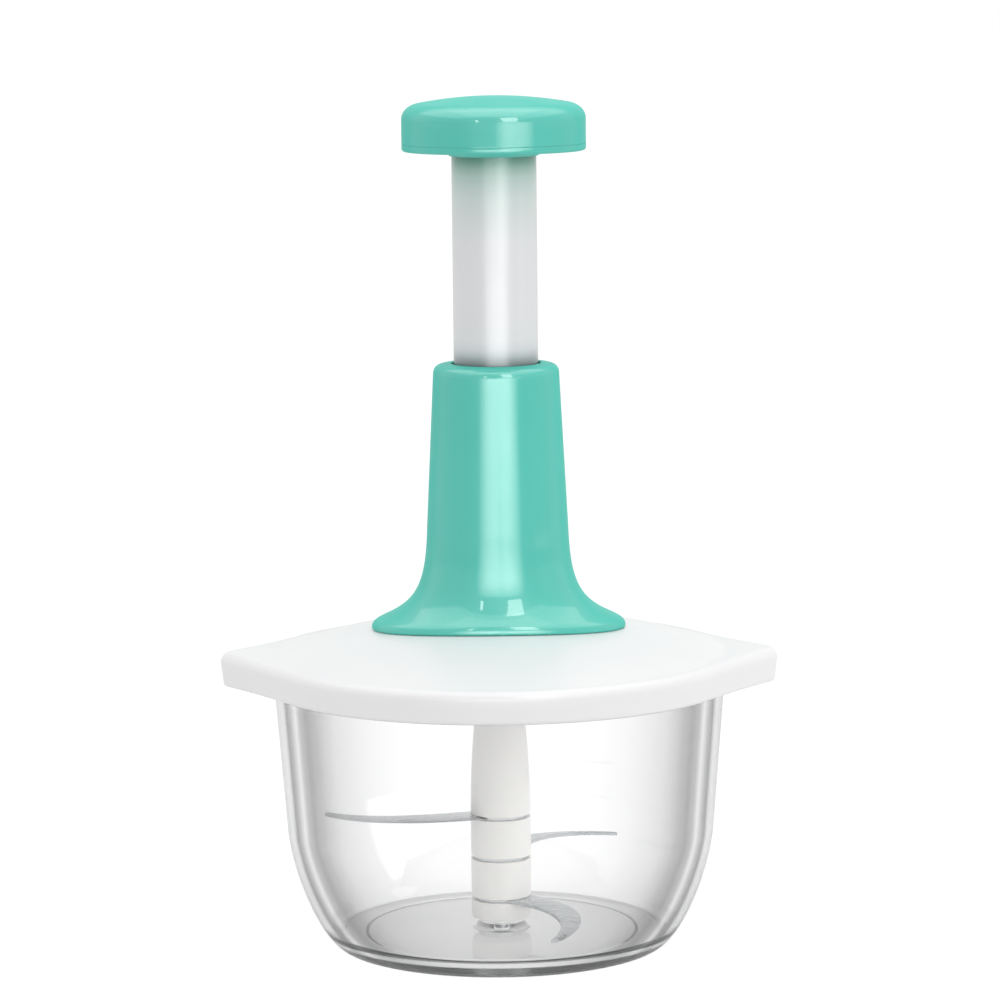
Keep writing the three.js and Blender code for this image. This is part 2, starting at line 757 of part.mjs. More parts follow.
function lidShape() {
  const crown = (azimuth) => (lidTabCrown * (lidEdge(azimuth) - lidRadius)) / (lidTabReach - lidRadius);
  const onEdge = (inset, z, crownShare = 0) => (azimuth) => {
    const r = lidEdge(azimuth) - inset;
    return [r * Math.cos(azimuth), r * Math.sin(azimuth), z + crown(azimuth) * crownShare];
  };
  const onCircle = (r, z) => (azimuth) => [r * Math.cos(azimuth), r * Math.sin(azimuth), z];
  const rows = [
    onEdge(lidDraft + lidLipRadius, lidSkirtBottom),
    onEdge(lidDraft, lidSkirtBottom + lidLipRadius),
  ];
  const roundSteps = 3;
  for (let k = 0; k <= roundSteps; k++) {
    const angle = ((Math.PI / 2) * k) / roundSteps;
    const inset = lidEdgeRadius * (1 - Math.cos(angle));
    const rise = Math.sin(angle);
    rows.push(onEdge(inset, lidBrimTop - lidEdgeRadius * (1 - rise), rise));
  }
  const domeSteps = 4;
  for (let k = 0; k <= domeSteps; k++) {
    const r = lidCreaseRadius + ((lidSeatRadius - lidCreaseRadius) * k) / domeSteps;
    rows.push(onCircle(r, domeHeight(r)));
  }
  return rowsBody(rows, lidAzimuths(), lidSkirtBottom, lidSeatTop);
}

function buildLid() {
  const ribOuter = bowlInnerRim - lidRibGap;
  const ribInner = ribOuter - lidRibWall;
  const channelTop = bowlHeight + sealThickness;
  const skirtInner = lidRadius - lidDraft - lidSkirtWall;
  const below = lidSkirtBottom - cutOverrun;
  const dishSteps = 5;
  const dish = [];
  for (let k = 0; k <= dishSteps; k++) {
    const r = ribInner + ((lidPadRadius - ribInner) * k) / dishSteps;
    dish.push([r, Math.min(domeHeight(r) - lidWall, lidPadBottom)]);
  }
  const hollow = revolve(
    [
      [0, below],
      [skirtInner, below],
      [skirtInner, channelTop],
      [ribOuter, channelTop],
      [ribOuter, lidRibBottom],
      [ribInner, lidRibBottom],
      ...dish,
      [lidPadRadius, lidPadBottom],
      [0, lidPadBottom],
    ],
    wideSteps,
  );
  const pocketInset = lidDraft + lidSkirtWall;
  const pocketRow = (z) => (azimuth) => {
    const r = Math.max(lidEdge(azimuth) - pocketInset, skirtInner - gap);
    return [r * Math.cos(azimuth), r * Math.sin(azimuth), z];
  };
  const pocketTop = lidBrimTop - lidEdgeRadius;
  const pocketRows = [pocketRow(below), pocketRow(pocketTop)];
  const kept = disc(skirtInner + lidSkirtWall, below - cutOverrun, pocketTop + cutOverrun, wideSteps);
  const pockets = rowsBody(pocketRows, lidAzimuths(), below, pocketTop).subtract(kept);
  const holeRadius = stopRadius + lidHoleGap;
  const centreHole = disc(holeRadius, lidPadBottom - cutOverrun, lidSeatTop + cutOverrun, middleSteps);
  const shell = lidShape().subtract(hollow).subtract(pockets).subtract(centreHole);
  add("lid", drilled(shell, screwRadius + 2 * gap, lidPadBottom, lidSeatTop), white);

  const sealOuter = skirtInner - gap;
  const seal = tubeRing(ribOuter + gap, sealOuter, bowlHeight, channelTop, wideSteps);
  add("lid_seal", seal, silicone);
}

// Tower

// The base is an oval: its depth grows less than its width as the tower flares
function towerHalfDepth(halfWidth) {
  const flared = Math.max(0, (halfWidth - towerWaistRadius) / towerFlareWidth);
  return halfWidth - (towerFlareWidth - towerFlareDepth) * flared;
}

// The tower's outside as [half width, half depth, height], from the flared edge up to the mouth
function towerOutline() {
  const lidAtEdge = domeHeight(towerBaseHalfWidth) + gap;
  const edge = new THREE.Vector2(towerBaseHalfWidth, lidAtEdge + towerEdgeLand);
  const crest = new THREE.Vector2(towerBaseHalfWidth - towerEdgeInset, lidAtEdge + towerEdgeHeight);
  const waist = new THREE.Vector2(towerWaistRadius, towerWaistHeight);
  const flare = easedCurve(waist, crest, towerFlareShares).getPoints(towerFlareSteps);
  const rounding = easedCurve(crest, edge, towerEdgeShares).getPoints(towerEdgeSteps).slice(1);
  const shoulder = towerTop - towerCrownRise;
  const shoulderPoints = [];
  const roundSteps = 3;
  for (let k = 0; k <= roundSteps; k++) {
    const angle = ((Math.PI / 2) * k) / roundSteps;
    shoulderPoints.push([
      towerTopRadius - towerShoulderRadius * (1 - Math.cos(angle)),
      shoulder - towerShoulderRadius * (1 - Math.sin(angle)),
    ]);
  }
  const sides = [...flare, ...rounding].reverse().map((p) => [p.x, p.y]);
  return [...sides, ...shoulderPoints, [tubeRadius + towerMouthGap, towerTop]].map(([r, z]) => [
    r,
    towerHalfDepth(r),
    z,
  ]);
}

// Rows of ovals. Below the waist their heights follow the dome, so that the edge lies on it all round.
function towerBody(outline, bottom, top) {
  const lidAtSides = domeHeight(towerBaseHalfWidth);
  const row = ([halfWidth, halfDepth, z]) => (azimuth) => {
    const cosine = Math.cos(azimuth);
    const sine = Math.sin(azimuth);
    const lidHere = domeHeight(Math.hypot(towerBaseHalfWidth * cosine, towerBaseHalfDepth * sine));
    const drop = Math.max(0, towerWaistHeight - z) / (towerWaistHeight - lidAtSides);
    return [halfWidth * cosine, halfDepth * sine, z + (lidHere - lidAtSides) * drop];
  };
  return rowsBody(outline.map(row), evenAzimuths(middleSteps + screwSteps), bottom, top);
}

function domeCutter(rise) {
  const far = towerBaseHalfWidth + cutOverrun;
  const bottom = domeHeight(far) - cutOverrun;
  const outline = [[0, bottom], [far, bottom]];
  const steps = 4;
  for (let k = 0; k <= steps; k++) {
    const r = far + ((lidSeatRadius - far) * k) / steps;
    outline.push([r, domeHeight(r) + rise]);
  }
  outline.push([0, lidSeatTop + rise]);
  return revolve(outline, middleSteps);
}

function buildTower() {
  const outer = towerOutline();
  const skirtBottom = domeHeight(towerBaseHalfWidth) - cutOverrun / 2;
  const skirt = [towerBaseHalfWidth, towerBaseHalfDepth, skirtBottom];
  const outside = towerBody([skirt, ...outer], skirtBottom, towerTop);
  const inner = outer
    .filter(([, , z]) => z < collarTop)
    .map(([halfWidth, halfDepth, z]) => {
      const lowering = (towerWall * (halfWidth - towerWaistRadius)) / towerBaseHalfWidth;
      const inwards = (half) => Math.max(half - towerWall, towerBore);
      return [inwards(halfWidth), inwards(halfDepth), z - lowering];
    });
  const low = skirtBottom - cutOverrun;
  const [lowestHalfWidth, lowestHalfDepth] = inner[0];
  const floor = [lowestHalfWidth, lowestHalfDepth, low];
  const flooredInner = [floor, ...inner, [towerBore, towerBore, collarTop]];
  const inside = towerBody(flooredInner, low, collarTop);
  const bosses = screwSpots()
    .map(([x, y]) => disc(towerBossRadius, skirtBottom, towerWaistHeight, screwSteps).translate([x, y, 0]))
    .reduce((all, boss) => all.add(boss))
    .intersect(outside);
  const guideRoom = disc(towerBore, skirtBottom - cutOverrun, collarTop, middleSteps);
  const holes = disc(screwRadius + gap, skirtBottom - cutOverrun, screwHoleTop - screwTopGap / 2, screwSteps);
  const mouth = disc(tubeRadius + towerMouthGap, collarTop - cutOverrun, towerTop + cutOverrun, middleSteps);
  const hollow = outside.subtract(inside).subtract(mouth).add(bosses);
  let shell = hollow.subtract(guideRoom).subtract(domeCutter(gap));
  screwSpots().forEach(([x, y]) => {
    shell = shell.subtract(holes.translate([x, y, 0]));
  });
  add("tower_shell", shell, teal);

  const ribs = [1, -1].map((side) => {
    const reach = guideWall / 2 + guideRibHeight;
    const rib = new THREE.BoxGeometry(reach, guideRibWidth, collarBottom - lidSeatTop);
    const x = side * (stopBore - guideRibHeight + reach / 2);
    return solid(rib.translate(x, 0, (collarBottom + lidSeatTop) / 2));
  });
  const guide = tubeRing(stopBore, guideOuter, lidSeatTop, collarBottom, middleSteps);
  add("guide_tube", guide.add(ribs[0]).add(ribs[1]), white);
  const collarInner = tubeRadius + runningGap;
  add("collar_ring", tubeRing(collarInner, guideOuter, collarBottom, collarTop, middleSteps), white);
}

function buildScrews() {
  const headTop = capTop - housingFlange;
  const headBottom = headTop - screwHeadHeight;
  const tip = screwHoleTop - screwTopGap;
  const outline = [
    [0, headBottom + screwRecess],
    [screwRadius / 2, headBottom + screwRecess],
    [screwRadius / 2, headBottom],
    [screwHeadRadius - screwHeadHeight / 3, headBottom],
    [screwHeadRadius, headBottom + screwHeadHeight / 2],
    [screwHeadRadius, headTop],
    [screwRadius, headTop],
    [screwRadius, tip - screwRadius],
    [0, tip],
  ];
  const screw = revolve(outline, screwSteps);
  screwSpots().forEach(([x, y], i) => add(`tower_screw_${i + 1}`, screw.translate([x, y, 0]), steel));
}

// Plunger

function knobOutline() {
  const start = new THREE.Vector2(knobRadius, knobBottom + knobSideHeight);
  const end = new THREE.Vector2(knobCrownRadius, knobTop - knobCrown);
  const edge = easedCurve(start, end, knobEdgeShares).getPoints(knobSteps);
  const crown = [];
  for (let k = 1; k < knobSteps; k++) {
    const share = 1 - k / knobSteps;
    crown.push([knobCrownRadius * share, knobTop - knobCrown * share ** 2]);
  }
  return [...edge.map((p) => [p.x, p.y]), ...crown];
}

function buildKnob() {
  const outside = [[0, knobSeam], [knobRadius, knobSeam], ...knobOutline(), [0, knobTop]];
  const inset = knobOutline().map(([r, z]) => [r * (1 - knobWall / knobRadius), z - knobWall]);
  const inside = [[0, knobSeam - cutOverrun], [knobRadius - knobWall, knobSeam - cutOverrun], ...inset];
  inside.push([0, knobTop - knobWall]);
  const cap = revolve(outside, middleSteps).subtract(revolve(inside, middleSteps));
  add("knob_cap", cap, teal);

  const socket = tubeRadius + gap;
  const skirtOuter = knobRadius - knobWall - gap;
  const cornerSteps = [0, 1, 2, 3].map((k) => ((Math.PI / 2) * k) / 3);
  const base = revolve(
    [
      [socket, knobBottom - knobCollarHeight],
      [knobCollarRadius - knobCollarHeight / 3, knobBottom - knobCollarHeight],
      [knobCollarRadius, knobBottom],
      ...cornerSteps.map((angle) => [
        knobRadius - knobCorner * (1 - Math.sin(angle)),
        knobBottom + knobCorner * (1 - Math.cos(angle)),
      ]),
      [knobRadius, knobSeam],
      [skirtOuter, knobSeam],
      [skirtOuter, knobSeam + knobSkirtWall],
      [skirtOuter - knobSkirtWall, knobSeam + knobSkirtWall],
      [skirtOuter - knobSkirtWall, knobBottom + knobFloor],
      [socket + knobSkirtWall, knobBottom + knobFloor],
      [socket + knobSkirtWall, knobPlateTop],
      [rodNeckRadius + gap, knobPlateTop],
      [rodNeckRadius + gap, knobPlateBottom],
      [socket, knobPlateBottom],
    ],
    middleSteps,
  );
  add("knob_base", base, teal);
}

function buildTube() {
  const inner = tubeRadius - tubeWall;
  const outline = [
    [inner, tubeBottom],
    [stopRadius, tubeBottom],
    [stopRadius, stopTop],
    [tubeRadius, stopTop],
    [tubeRadius, knobPlateBottom],
    [inner, knobPlateBottom],
  ];
  let tube = revolve(outline, middleSteps);
  let damper = tubeRing(tubeRadius + gap, stopRadius, stopTop, stopTop + damperHeight, middleSteps);
  [1, -1].forEach((side) => {
    const depth = guideRibHeight + runningGap;
    const notchHeight = stopHeight + damperHeight + 2 * cutOverrun;
    const notch = new THREE.BoxGeometry(depth, guideRibWidth + 2 * runningGap, notchHeight);
    const x = side * (stopBore - guideRibHeight - runningGap + depth / 2);
    const cut = solid(notch.translate(x, 0, stopTop));
    tube = tube.subtract(cut);
    damper = damper.subtract(cut);
  });
  add("plunger_tube", tube, pearl);
  add("stop_damper", damper, silicone);
}

function buildRod() {
  const neckTop = knobPlateTop + rodNutHeight + washerThickness;
  const neckBottom = neckTop - rodNeckLength;
  const barTop = knobPlateBottom - gap;
  const bar = twistedBar(rodWidth, rodThickness, rodThickness, rodLowEnd, barTop, rodStepAngle);
  const neck = disc(rodNeckRadius, neckBottom - gap, neckTop, smallSteps);
  add("twisted_rod", bar.add(neck), steel);
  const washerTop = knobPlateTop + washerThickness;
  const neckBore = rodNeckRadius + gap;
  add("rod_washer", tubeRing(neckBore, rodWasherRadius, knobPlateTop, washerTop, smallSteps), steel);
  const corner = rodNutAcross / 2 / Math.cos(Math.PI / 6);
  const bore = disc(neckBore, washerTop - cutOverrun, washerTop + rodNutHeight + cutOverrun, smallSteps);
  add("rod_nut", hexagonBody(corner, washerTop, washerTop + rodNutHeight).subtract(bore), steel);
}

// Return spring: one unbroken helix whose end turns lie nearly flat
function springPoint(turn) {
  const bottom = capTop + gap + springWire / 2;
  const top = knobPlateBottom - gap - springWire / 2;
  const endRise = springWire + 2 * gap;
  const middle = springTurns - 2 * springEndTurns;
  const pitch = (top - bottom - 2 * springEndTurns * endRise) / middle;
  const low = Math.min(turn, springEndTurns) * endRise;
  const mid = Math.min(Math.max(turn - springEndTurns, 0), middle) * pitch;
  const high = Math.max(turn - springEndTurns - middle, 0) * endRise;
  const angle = 2 * Math.PI * turn;
  const height = bottom + low + mid + high;
  return new THREE.Vector3(springRadius * Math.cos(angle), springRadius * Math.sin(angle), height);
}

function buildSpring() {
  const count = springTurns * springStepsPerTurn;
  const sections = [];
  for (let k = 0; k <= count; k++) {
    const turn = k / springStepsPerTurn;
    const centre = springPoint(turn);
    const outward = new THREE.Vector3(centre.x, centre.y, 0).normalize();
    const section = [];
    for (let i = 0; i < springSides; i++) {
      const angle = (2 * Math.PI * i) / springSides;
      const out = (Math.cos(angle) * springWire) / 2;
      const up = (Math.sin(angle) * springWire) / 2;
      section.push([centre.x + outward.x * out, centre.y + outward.y * out, centre.z + up]);
    }
    sections.push(section.reverse());
  }
  const spring = sectionsBody(sections);
  let least = Infinity;
  for (let k = springStepsPerTurn; k <= count; k++) {
    const apart = springPoint(k / springStepsPerTurn).distanceTo(springPoint(k / springStepsPerTurn - 1));
    least = Math.min(least, apart - springWire);
  }
  console.log(`return_spring: least gap between turns ${least.toFixed(2)} mm`);
  add("return_spring", spring, darkSteel);
}

buildBowl();
buildBladeStack();
buildSpindle();
buildNut();
buildHousing();
buildLid();
buildTower();
buildScrews();
buildKnob();
buildTube();
buildRod();
buildSpring();

export default root;
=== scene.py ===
import math

import bmesh
import bpy
from mathutils import Matrix, Vector


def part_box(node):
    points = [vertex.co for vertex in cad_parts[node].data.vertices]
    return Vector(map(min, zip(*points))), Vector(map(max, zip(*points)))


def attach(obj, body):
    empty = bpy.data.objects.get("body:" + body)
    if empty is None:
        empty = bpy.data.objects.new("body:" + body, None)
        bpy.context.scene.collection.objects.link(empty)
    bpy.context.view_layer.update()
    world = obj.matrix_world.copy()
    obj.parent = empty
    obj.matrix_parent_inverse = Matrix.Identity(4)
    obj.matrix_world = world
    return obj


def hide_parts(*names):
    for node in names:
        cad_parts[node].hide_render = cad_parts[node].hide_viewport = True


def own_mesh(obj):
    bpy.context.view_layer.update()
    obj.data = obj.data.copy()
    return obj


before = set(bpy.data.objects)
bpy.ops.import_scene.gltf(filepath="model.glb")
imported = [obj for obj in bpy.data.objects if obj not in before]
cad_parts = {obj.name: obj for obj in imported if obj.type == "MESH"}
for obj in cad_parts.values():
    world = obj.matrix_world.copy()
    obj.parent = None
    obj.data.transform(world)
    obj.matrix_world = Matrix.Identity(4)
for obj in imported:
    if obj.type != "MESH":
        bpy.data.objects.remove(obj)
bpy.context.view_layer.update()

# Sizes of the object are millimetres in the CAD frame, and MM turns them into metres
MM = 0.001
AROUND = 192  # facets round the wide pieces
SMALL_AROUND = 96
X, Y, Z = range(3)
CREASE = math.radians(32)  # edges sharper than this stay sharp
SUPPORT = 0.25  # row beside each rounded corner, which keeps the flat next to it flat
SIDE_SHARE = 0.49  # the most of a side of an outline that the rounding of one corner takes
ON_AXIS = 1e-9  # a smaller radius is a point on the axis
WELD = 1e-7  # metres within which vertices are welded

# Roundings of small edges
CRISP = 0.2
FINE = 0.3
SMALL = 0.4
SOFT = 0.5


def lowest(node, axis):
    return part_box(node)[0][axis] / MM


def highest(node, axis):
    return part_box(node)[1][axis] / MM


# Sizes read from the frame
BOWL_RADIUS = highest("bowl", X)
BOWL_TOP = highest("bowl", Z)
LID_REACH = highest("lid", X)
LID_RADIUS = highest("lid", Y)
LID_BOTTOM = lowest("lid", Z)
LID_SEAT_TOP = highest("lid", Z)
TOWER_TOP = highest("tower_shell", Z)
TOWER_HALF_WIDTH = highest("tower_shell", X)
KNOB_RADIUS = highest("knob_cap", X)
KNOB_TOP = highest("knob_cap", Z)
KNOB_SEAM = lowest("knob_cap", Z)
COLLAR_BOTTOM = lowest("knob_base", Z)
STOP_RADIUS = highest("stop_damper", Y)
TUBE_BOTTOM = lowest("plunger_tube", Z)
STOP_TOP = lowest("stop_damper", Z)
PIN_BOTTOM = lowest("pivot_pin", Z)
PIN_TOP = highest("pivot_pin", Z)
HUB_BOTTOM = lowest("bottom_hub", Z)
POST_TOP = highest("bottom_hub", Z)
SPACER_RADIUS = highest("lower_spacer", Y)
COLUMN_BOTTOM = lowest("blade_column", Z)
COLUMN_TOP = highest("blade_column", Z)
HOUSING_BOTTOM = lowest("drive_housing", Z)
HOUSING_TOP = highest("drive_housing", Z)
HOUSING_FLANGE_RADIUS = highest("drive_housing", Y)
SPRING_BOTTOM = lowest("return_spring", Z)
SPRING_TOP = highest("return_spring", Z)

# Sizes that the frame's boxes don't give, as in the CAD model
GAP = 0.3
PIN_RADIUS = 3
FOOT_RADIUS = 58.3
RECESS_RADIUS = 49
RECESS_DEPTH = 1
BOWL_WALL = 3
BOWL_FLOOR_TOP = 4.5
BELLY = Vector((76.1, 44))
BOWL_SHARES = ((0.35, 0.07), (0.95, 0.58))
BOSS_RADIUS = 8
CREASE_RADIUS = 80.2
CREASE_HEIGHT = 104.2
DOME_RADIUS = 265
BRIM_TOP = 104.6
BRIM_FILLET = 3.3
SKIRT_DRAFT = 0.8
SKIRT_WALL = 2.4
TAB_NOSE = 6.5
TAB_BLEND = 400
TAB_CROWN = 0.5
LID_WALL = 2.2
PAD_RADIUS = 36
PAD_BOTTOM = 111.67
LID_HOLE = 17.9
RIB_OUTER = BOWL_RADIUS - BOWL_WALL - 0.6
RIB_INNER = RIB_OUTER - 2.2
RIB_BOTTOM = 95
SEAL_HEIGHT = 2.3
SKIRT_INNER = LID_RADIUS - SKIRT_DRAFT - SKIRT_WALL
CHANNEL_TOP = BOWL_TOP + SEAL_HEIGHT
TOWER_HALF_DEPTH = highest("tower_shell", Y)
EDGE_HEIGHT = 4.1
EDGE_INSET = 3.7
EDGE_LAND = 0.8
EDGE_SHARES = ((0.5, 0.25), (1, 0.5))
WAIST = Vector((25, 149))
FLARE_SHARES = ((0.043, 0.66), (0.274, 0.834))
TOWER_TOP_RADIUS = 22.1
TOWER_CROWN = 0.8
TOWER_SHOULDER = 3.4
TOWER_WALL = 2.4
TOWER_BORE = 19.7
TOWER_PLATE = 3
TUBE_RADIUS = 14.9
TUBE_WALL = 1.8
MOUTH_RADIUS = TUBE_RADIUS + 0.8
KNOB_SIDE = 11.2
KNOB_CROWN = 2.5
KNOB_CROWN_RADIUS = 27
KNOB_SHARES = ((0, 0.5), (0.45, 0.88))
KNOB_CORNER = 2
KNOB_FLOOR = 1.7
KNOB_WALL = 2.4
KNOB_COLLAR_RADIUS = 16.5
KNOB_COLLAR_HEIGHT = 1.7
KNOB_BOTTOM = COLLAR_BOTTOM + KNOB_COLLAR_HEIGHT
BORE_RADIUS = 4.7


# Mesh helpers

def srgb(red, green, blue):
    """A colour written in 0 to 255 screen values, as the linear values that shaders take."""
    def linear(value):
        share = value / 255
        return share / 12.92 if share <= 0.04045 else ((share + 0.055) / 1.055) ** 2.4
    return (linear(red), linear(green), linear(blue), 1)


def bezier(start, end, shares, steps):
    """Points of a cubic curve whose middle points are shares of its width and rise."""
    span = end - start
    first, second = (start + Vector((r * span.x, z * span.y)) for r, z in shares)
    points = []
    for k in range(steps + 1):
        t = k / steps
        u = 1 - t
        points.append(start * u**3 + first * 3 * u * u * t + second * 3 * u * t * t + end * t**3)
    return points


def rounded(outline, steps=5):
    """An outline of (r, z) or (r, z, radius) points, each corner with a radius turned into an arc
    that has a supporting point on both sides."""
    points = []
    count = len(outline)
    for i, corner in enumerate(outline):
        here = Vector(corner[:2])
        radius = corner[2] if len(corner) > 2 else 0
        if radius == 0:
            points.append(here)
            continue
        before = Vector(outline[i - 1][:2]) - here
        after = Vector(outline[(i + 1) % count][:2]) - here
        half = before.angle(after) / 2
        reach = min(radius / math.tan(half), before.length * SIDE_SHARE, after.length * SIDE_SHARE)
        start = here + before.normalized() * reach
        end = here + after.normalized() * reach
        hold = min(SUPPORT, before.length * SIDE_SHARE - reach)
        if hold > 0:
            points.append(start + before.normalized() * hold)
        for k in range(steps + 1):
            t = k / steps
            points.append(start * (1 - t) ** 2 + here * 2 * t * (1 - t) + end * t * t)
        hold = min(SUPPORT, after.length * SIDE_SHARE - reach)
        if hold > 0:
            points.append(end + after.normalized() * hold)
    return [(p.x, p.y) for p in points]


def even_angles(count):
    return [2 * math.pi * i / count for i in range(count)]


def quarter_turn(steps):
    """The angles of a quarter circle, with both its ends."""
    return [math.pi / 2 * k / steps for k in range(steps + 1)]


def linked_object(name, data):
    """An object with a mesh, camera or lamp, in the scene."""
    item = bpy.data.objects.new(name, data)
    bpy.context.scene.collection.objects.link(item)
    return item


def finish_mesh(name, bm, crease=CREASE):
    """Welds, faces outwards, shades smoothly between sharp edges, and makes the object."""
    bmesh.ops.remove_doubles(bm, verts=bm.verts, dist=WELD)
    bmesh.ops.recalc_face_normals(bm, faces=bm.faces)
    mesh = bpy.data.meshes.new(name)
    bm.to_mesh(mesh)
    bm.free()
    mesh.polygons.foreach_set("use_smooth", [True] * len(mesh.polygons))
    mesh.set_sharp_from_angle(angle=crease)
    return linked_object(name, mesh)


def rings_piece(name, rings, closed, crease=CREASE):
    """A body skinned over rings of points, in millimetres. A ring of one point is a pole.
    closed joins the last ring to the first, for a body with a hole through it."""
    bm = bmesh.new()
    rows = [[bm.verts.new(Vector(p) * MM) for p in ring] for ring in rings]
    pairs = list(zip(rows, rows[1:]))
    if closed:
        pairs.append((rows[-1], rows[0]))
    for low, high in pairs:
        count = max(len(low), len(high))
        for i in range(count):
            j = (i + 1) % count
            corners = [low[i % len(low)], low[j % len(low)], high[j % len(high)], high[i % len(high)]]
            unique = list(dict.fromkeys(corners))
            if len(unique) > 2:
                bm.faces.new(unique)
    return finish_mesh(name, bm, crease)


def lathe(name, outline, steps):
    """A body of revolution about Z. The outline runs from the axis to the axis, or is a closed loop."""
    angles = even_angles(steps)
    rings = []
    for r, z in outline:
        if r < ON_AXIS:
            rings.append([(0, 0, z)])
        else:
            rings.append([(r * math.cos(a), r * math.sin(a), z) for a in angles])
    between_poles = outline[0][0] < ON_AXIS and outline[-1][0] < ON_AXIS
    return rings_piece(name, rings, not between_poles)


def dress(piece, material, body, slot, *nodes):
    """Gives a piece its material, the body that it rides on, and the CAD nodes that it stands for."""
    piece.data.materials.clear()
    piece.data.materials.append(material)
    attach(piece, body)
    if nodes:
        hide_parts(*nodes)


# Materials

NOISE_RANGE = (0.3, 0.7)
RIPPLE_DEPTH = 0.0006  # metres, like the depth of the grain
GRAIN_DEPTH = 0.0002
GRAIN = 0.12  # strength of the metals' grain
SMUDGE_SHARES = (0.85, 1.2)  # of a plastic's roughness, where it is cleanest and where most smudged
STREAK_SHARES = (0.7, 1.4)  # of a metal's roughness, along its grain
EDGE_ON_RANGE = (0.35, 0.66)  # how edge on a surface is seen where its coat starts and ends its fade


def shader(name):
    material = bpy.data.materials.new(name)
    material.use_nodes = True
    nodes = material.node_tree.nodes
    return material, nodes, material.node_tree.links, nodes["Principled BSDF"]


def noise(nodes, links, scale, detail, stretch=None):
    """Noise over the object's own space, stretched where the finish has a direction."""
    where = nodes.new("ShaderNodeTexCoord").outputs["Object"]
    texture = nodes.new("ShaderNodeTexNoise")
    texture.inputs["Scale"].default_value = scale
    texture.inputs["Detail"].default_value = detail
    if stretch:
        mapping = nodes.new("ShaderNodeMapping")
        mapping.inputs["Scale"].default_value = stretch
        links.new(where, mapping.inputs["Vector"])
        where = mapping.outputs["Vector"]
    links.new(where, texture.inputs["Vector"])
    return texture.outputs["Fac"]


def map_range(nodes, links, source, from_range, to_range=(0, 1), curve="LINEAR"):
    """Maps a value from one range to another, and holds it inside the second."""
    node = nodes.new("ShaderNodeMapRange")
    node.interpolation_type = curve
    node.inputs["From Min"].default_value, node.inputs["From Max"].default_value = from_range
    node.inputs["To Min"].default_value, node.inputs["To Max"].default_value = to_range
    links.new(source, node.inputs["Value"])
    return node.outputs["Result"]


def spread(nodes, links, source, low=0, high=1):
    """Maps noise, which hardly leaves the middle of its range, to a range of its own."""
    return map_range(nodes, links, source, NOISE_RANGE, (low, high))


def shares_of(rough, shares):
    return [rough * share for share in shares]


def scaled_sum(nodes, links, source, factor, rest):
    """The source times a factor, plus the rest."""
    node = nodes.new("ShaderNodeMath")
    node.operation = "MULTIPLY_ADD"
    node.inputs[1].default_value = factor
    links.new(source, node.inputs[0])
    links.new(rest, node.inputs[2])
    return node.outputs["Value"]


def mixed_colour(nodes, links, factor, first, second, blend="MIX"):
    """A mix of two colours. Each input is a value, or the output of another node."""
    mix = nodes.new("ShaderNodeMix")
    mix.data_type = "RGBA"
    mix.blend_type = blend
    for name, source in (("Factor", factor), ("A", first), ("B", second)):
        if isinstance(source, bpy.types.NodeSocket):
            links.new(source, mix.inputs[name])
        else:
            mix.inputs[name].default_value = source
    return mix.outputs["Result"]


def mixed_surface(nodes, links, factor, first, second, target):
    """Sends a mix of two shaders to the target."""
    mix = nodes.new("ShaderNodeMixShader")
    links.new(factor, mix.inputs["Fac"])
    links.new(first, mix.inputs[1])
    links.new(second, mix.inputs[2])
    links.new(mix.outputs["Shader"], target)


def tone(nodes, links, source, first, second):
    """A colour between two tones, by a noise value."""
    return mixed_colour(nodes, links, spread(nodes, links, source), first, second)


def bump(nodes, links, source, strength, distance):
    node = nodes.new("ShaderNodeBump")
    node.inputs["Strength"].default_value = strength
    node.inputs["Distance"].default_value = distance
    links.new(source, node.inputs["Height"])
    return node.outputs["Normal"]


def seen_edge_on(nodes):
    """Nought where the surface faces the camera, one where it is seen edge on."""
    weight = nodes.new("ShaderNodeLayerWeight")
    weight.inputs["Blend"].default_value = 0.5
    return weight.outputs["Facing"]


def ramp_by(nodes, links, source, stops):
    """A colour ramp over a value, from (position, colour) stops."""
    ramp = nodes.new("ShaderNodeValToRGB")
    points = ramp.color_ramp.elements
    while len(points) < len(stops):
        points.new(1)
    for point, (position, colour) in zip(points, stops):
        point.position = position
        point.color = (*colour, 1)
    links.new(source, ramp.inputs["Fac"])
    return ramp.outputs["Color"]


def moulded_plastic(name, first, second, rough, coat=0.0, ripple=0.05):
    """Glossy injection-moulded plastic: slow colour drift, faint smudges and a soft ripple."""
    material, nodes, links, base = shader(name)
    drift = noise(nodes, links, scale=14, detail=2)
    smudge = noise(nodes, links, scale=90, detail=5)
    wave = noise(nodes, links, scale=55, detail=1)
    links.new(tone(nodes, links, drift, first, second), base.inputs["Base Color"])
    smudged = spread(nodes, links, smudge, *shares_of(rough, SMUDGE_SHARES))
    links.new(smudged, base.inputs["Roughness"])
    links.new(bump(nodes, links, wave, ripple, RIPPLE_DEPTH), base.inputs["Normal"])
    base.inputs["IOR"].default_value = 1.45
    base.inputs["Coat Weight"].default_value = coat
    base.inputs["Coat Roughness"].default_value = 0.05
    return material


def duller_edges(material, coat, rise):
    """Plastic whose coat fades, and whose roughness rises, where it is seen nearly edge on."""
    nodes, links = material.node_tree.nodes, material.node_tree.links
    base = nodes["Principled BSDF"]
    edge = map_range(nodes, links, seen_edge_on(nodes), EDGE_ON_RANGE, curve="SMOOTHSTEP")
    links.new(map_range(nodes, links, edge, (0, 1), (coat, 0)), base.inputs["Coat Weight"])
    plain = base.inputs["Roughness"].links[0].from_socket
    links.new(scaled_sum(nodes, links, edge, rise, plain), base.inputs["Roughness"])


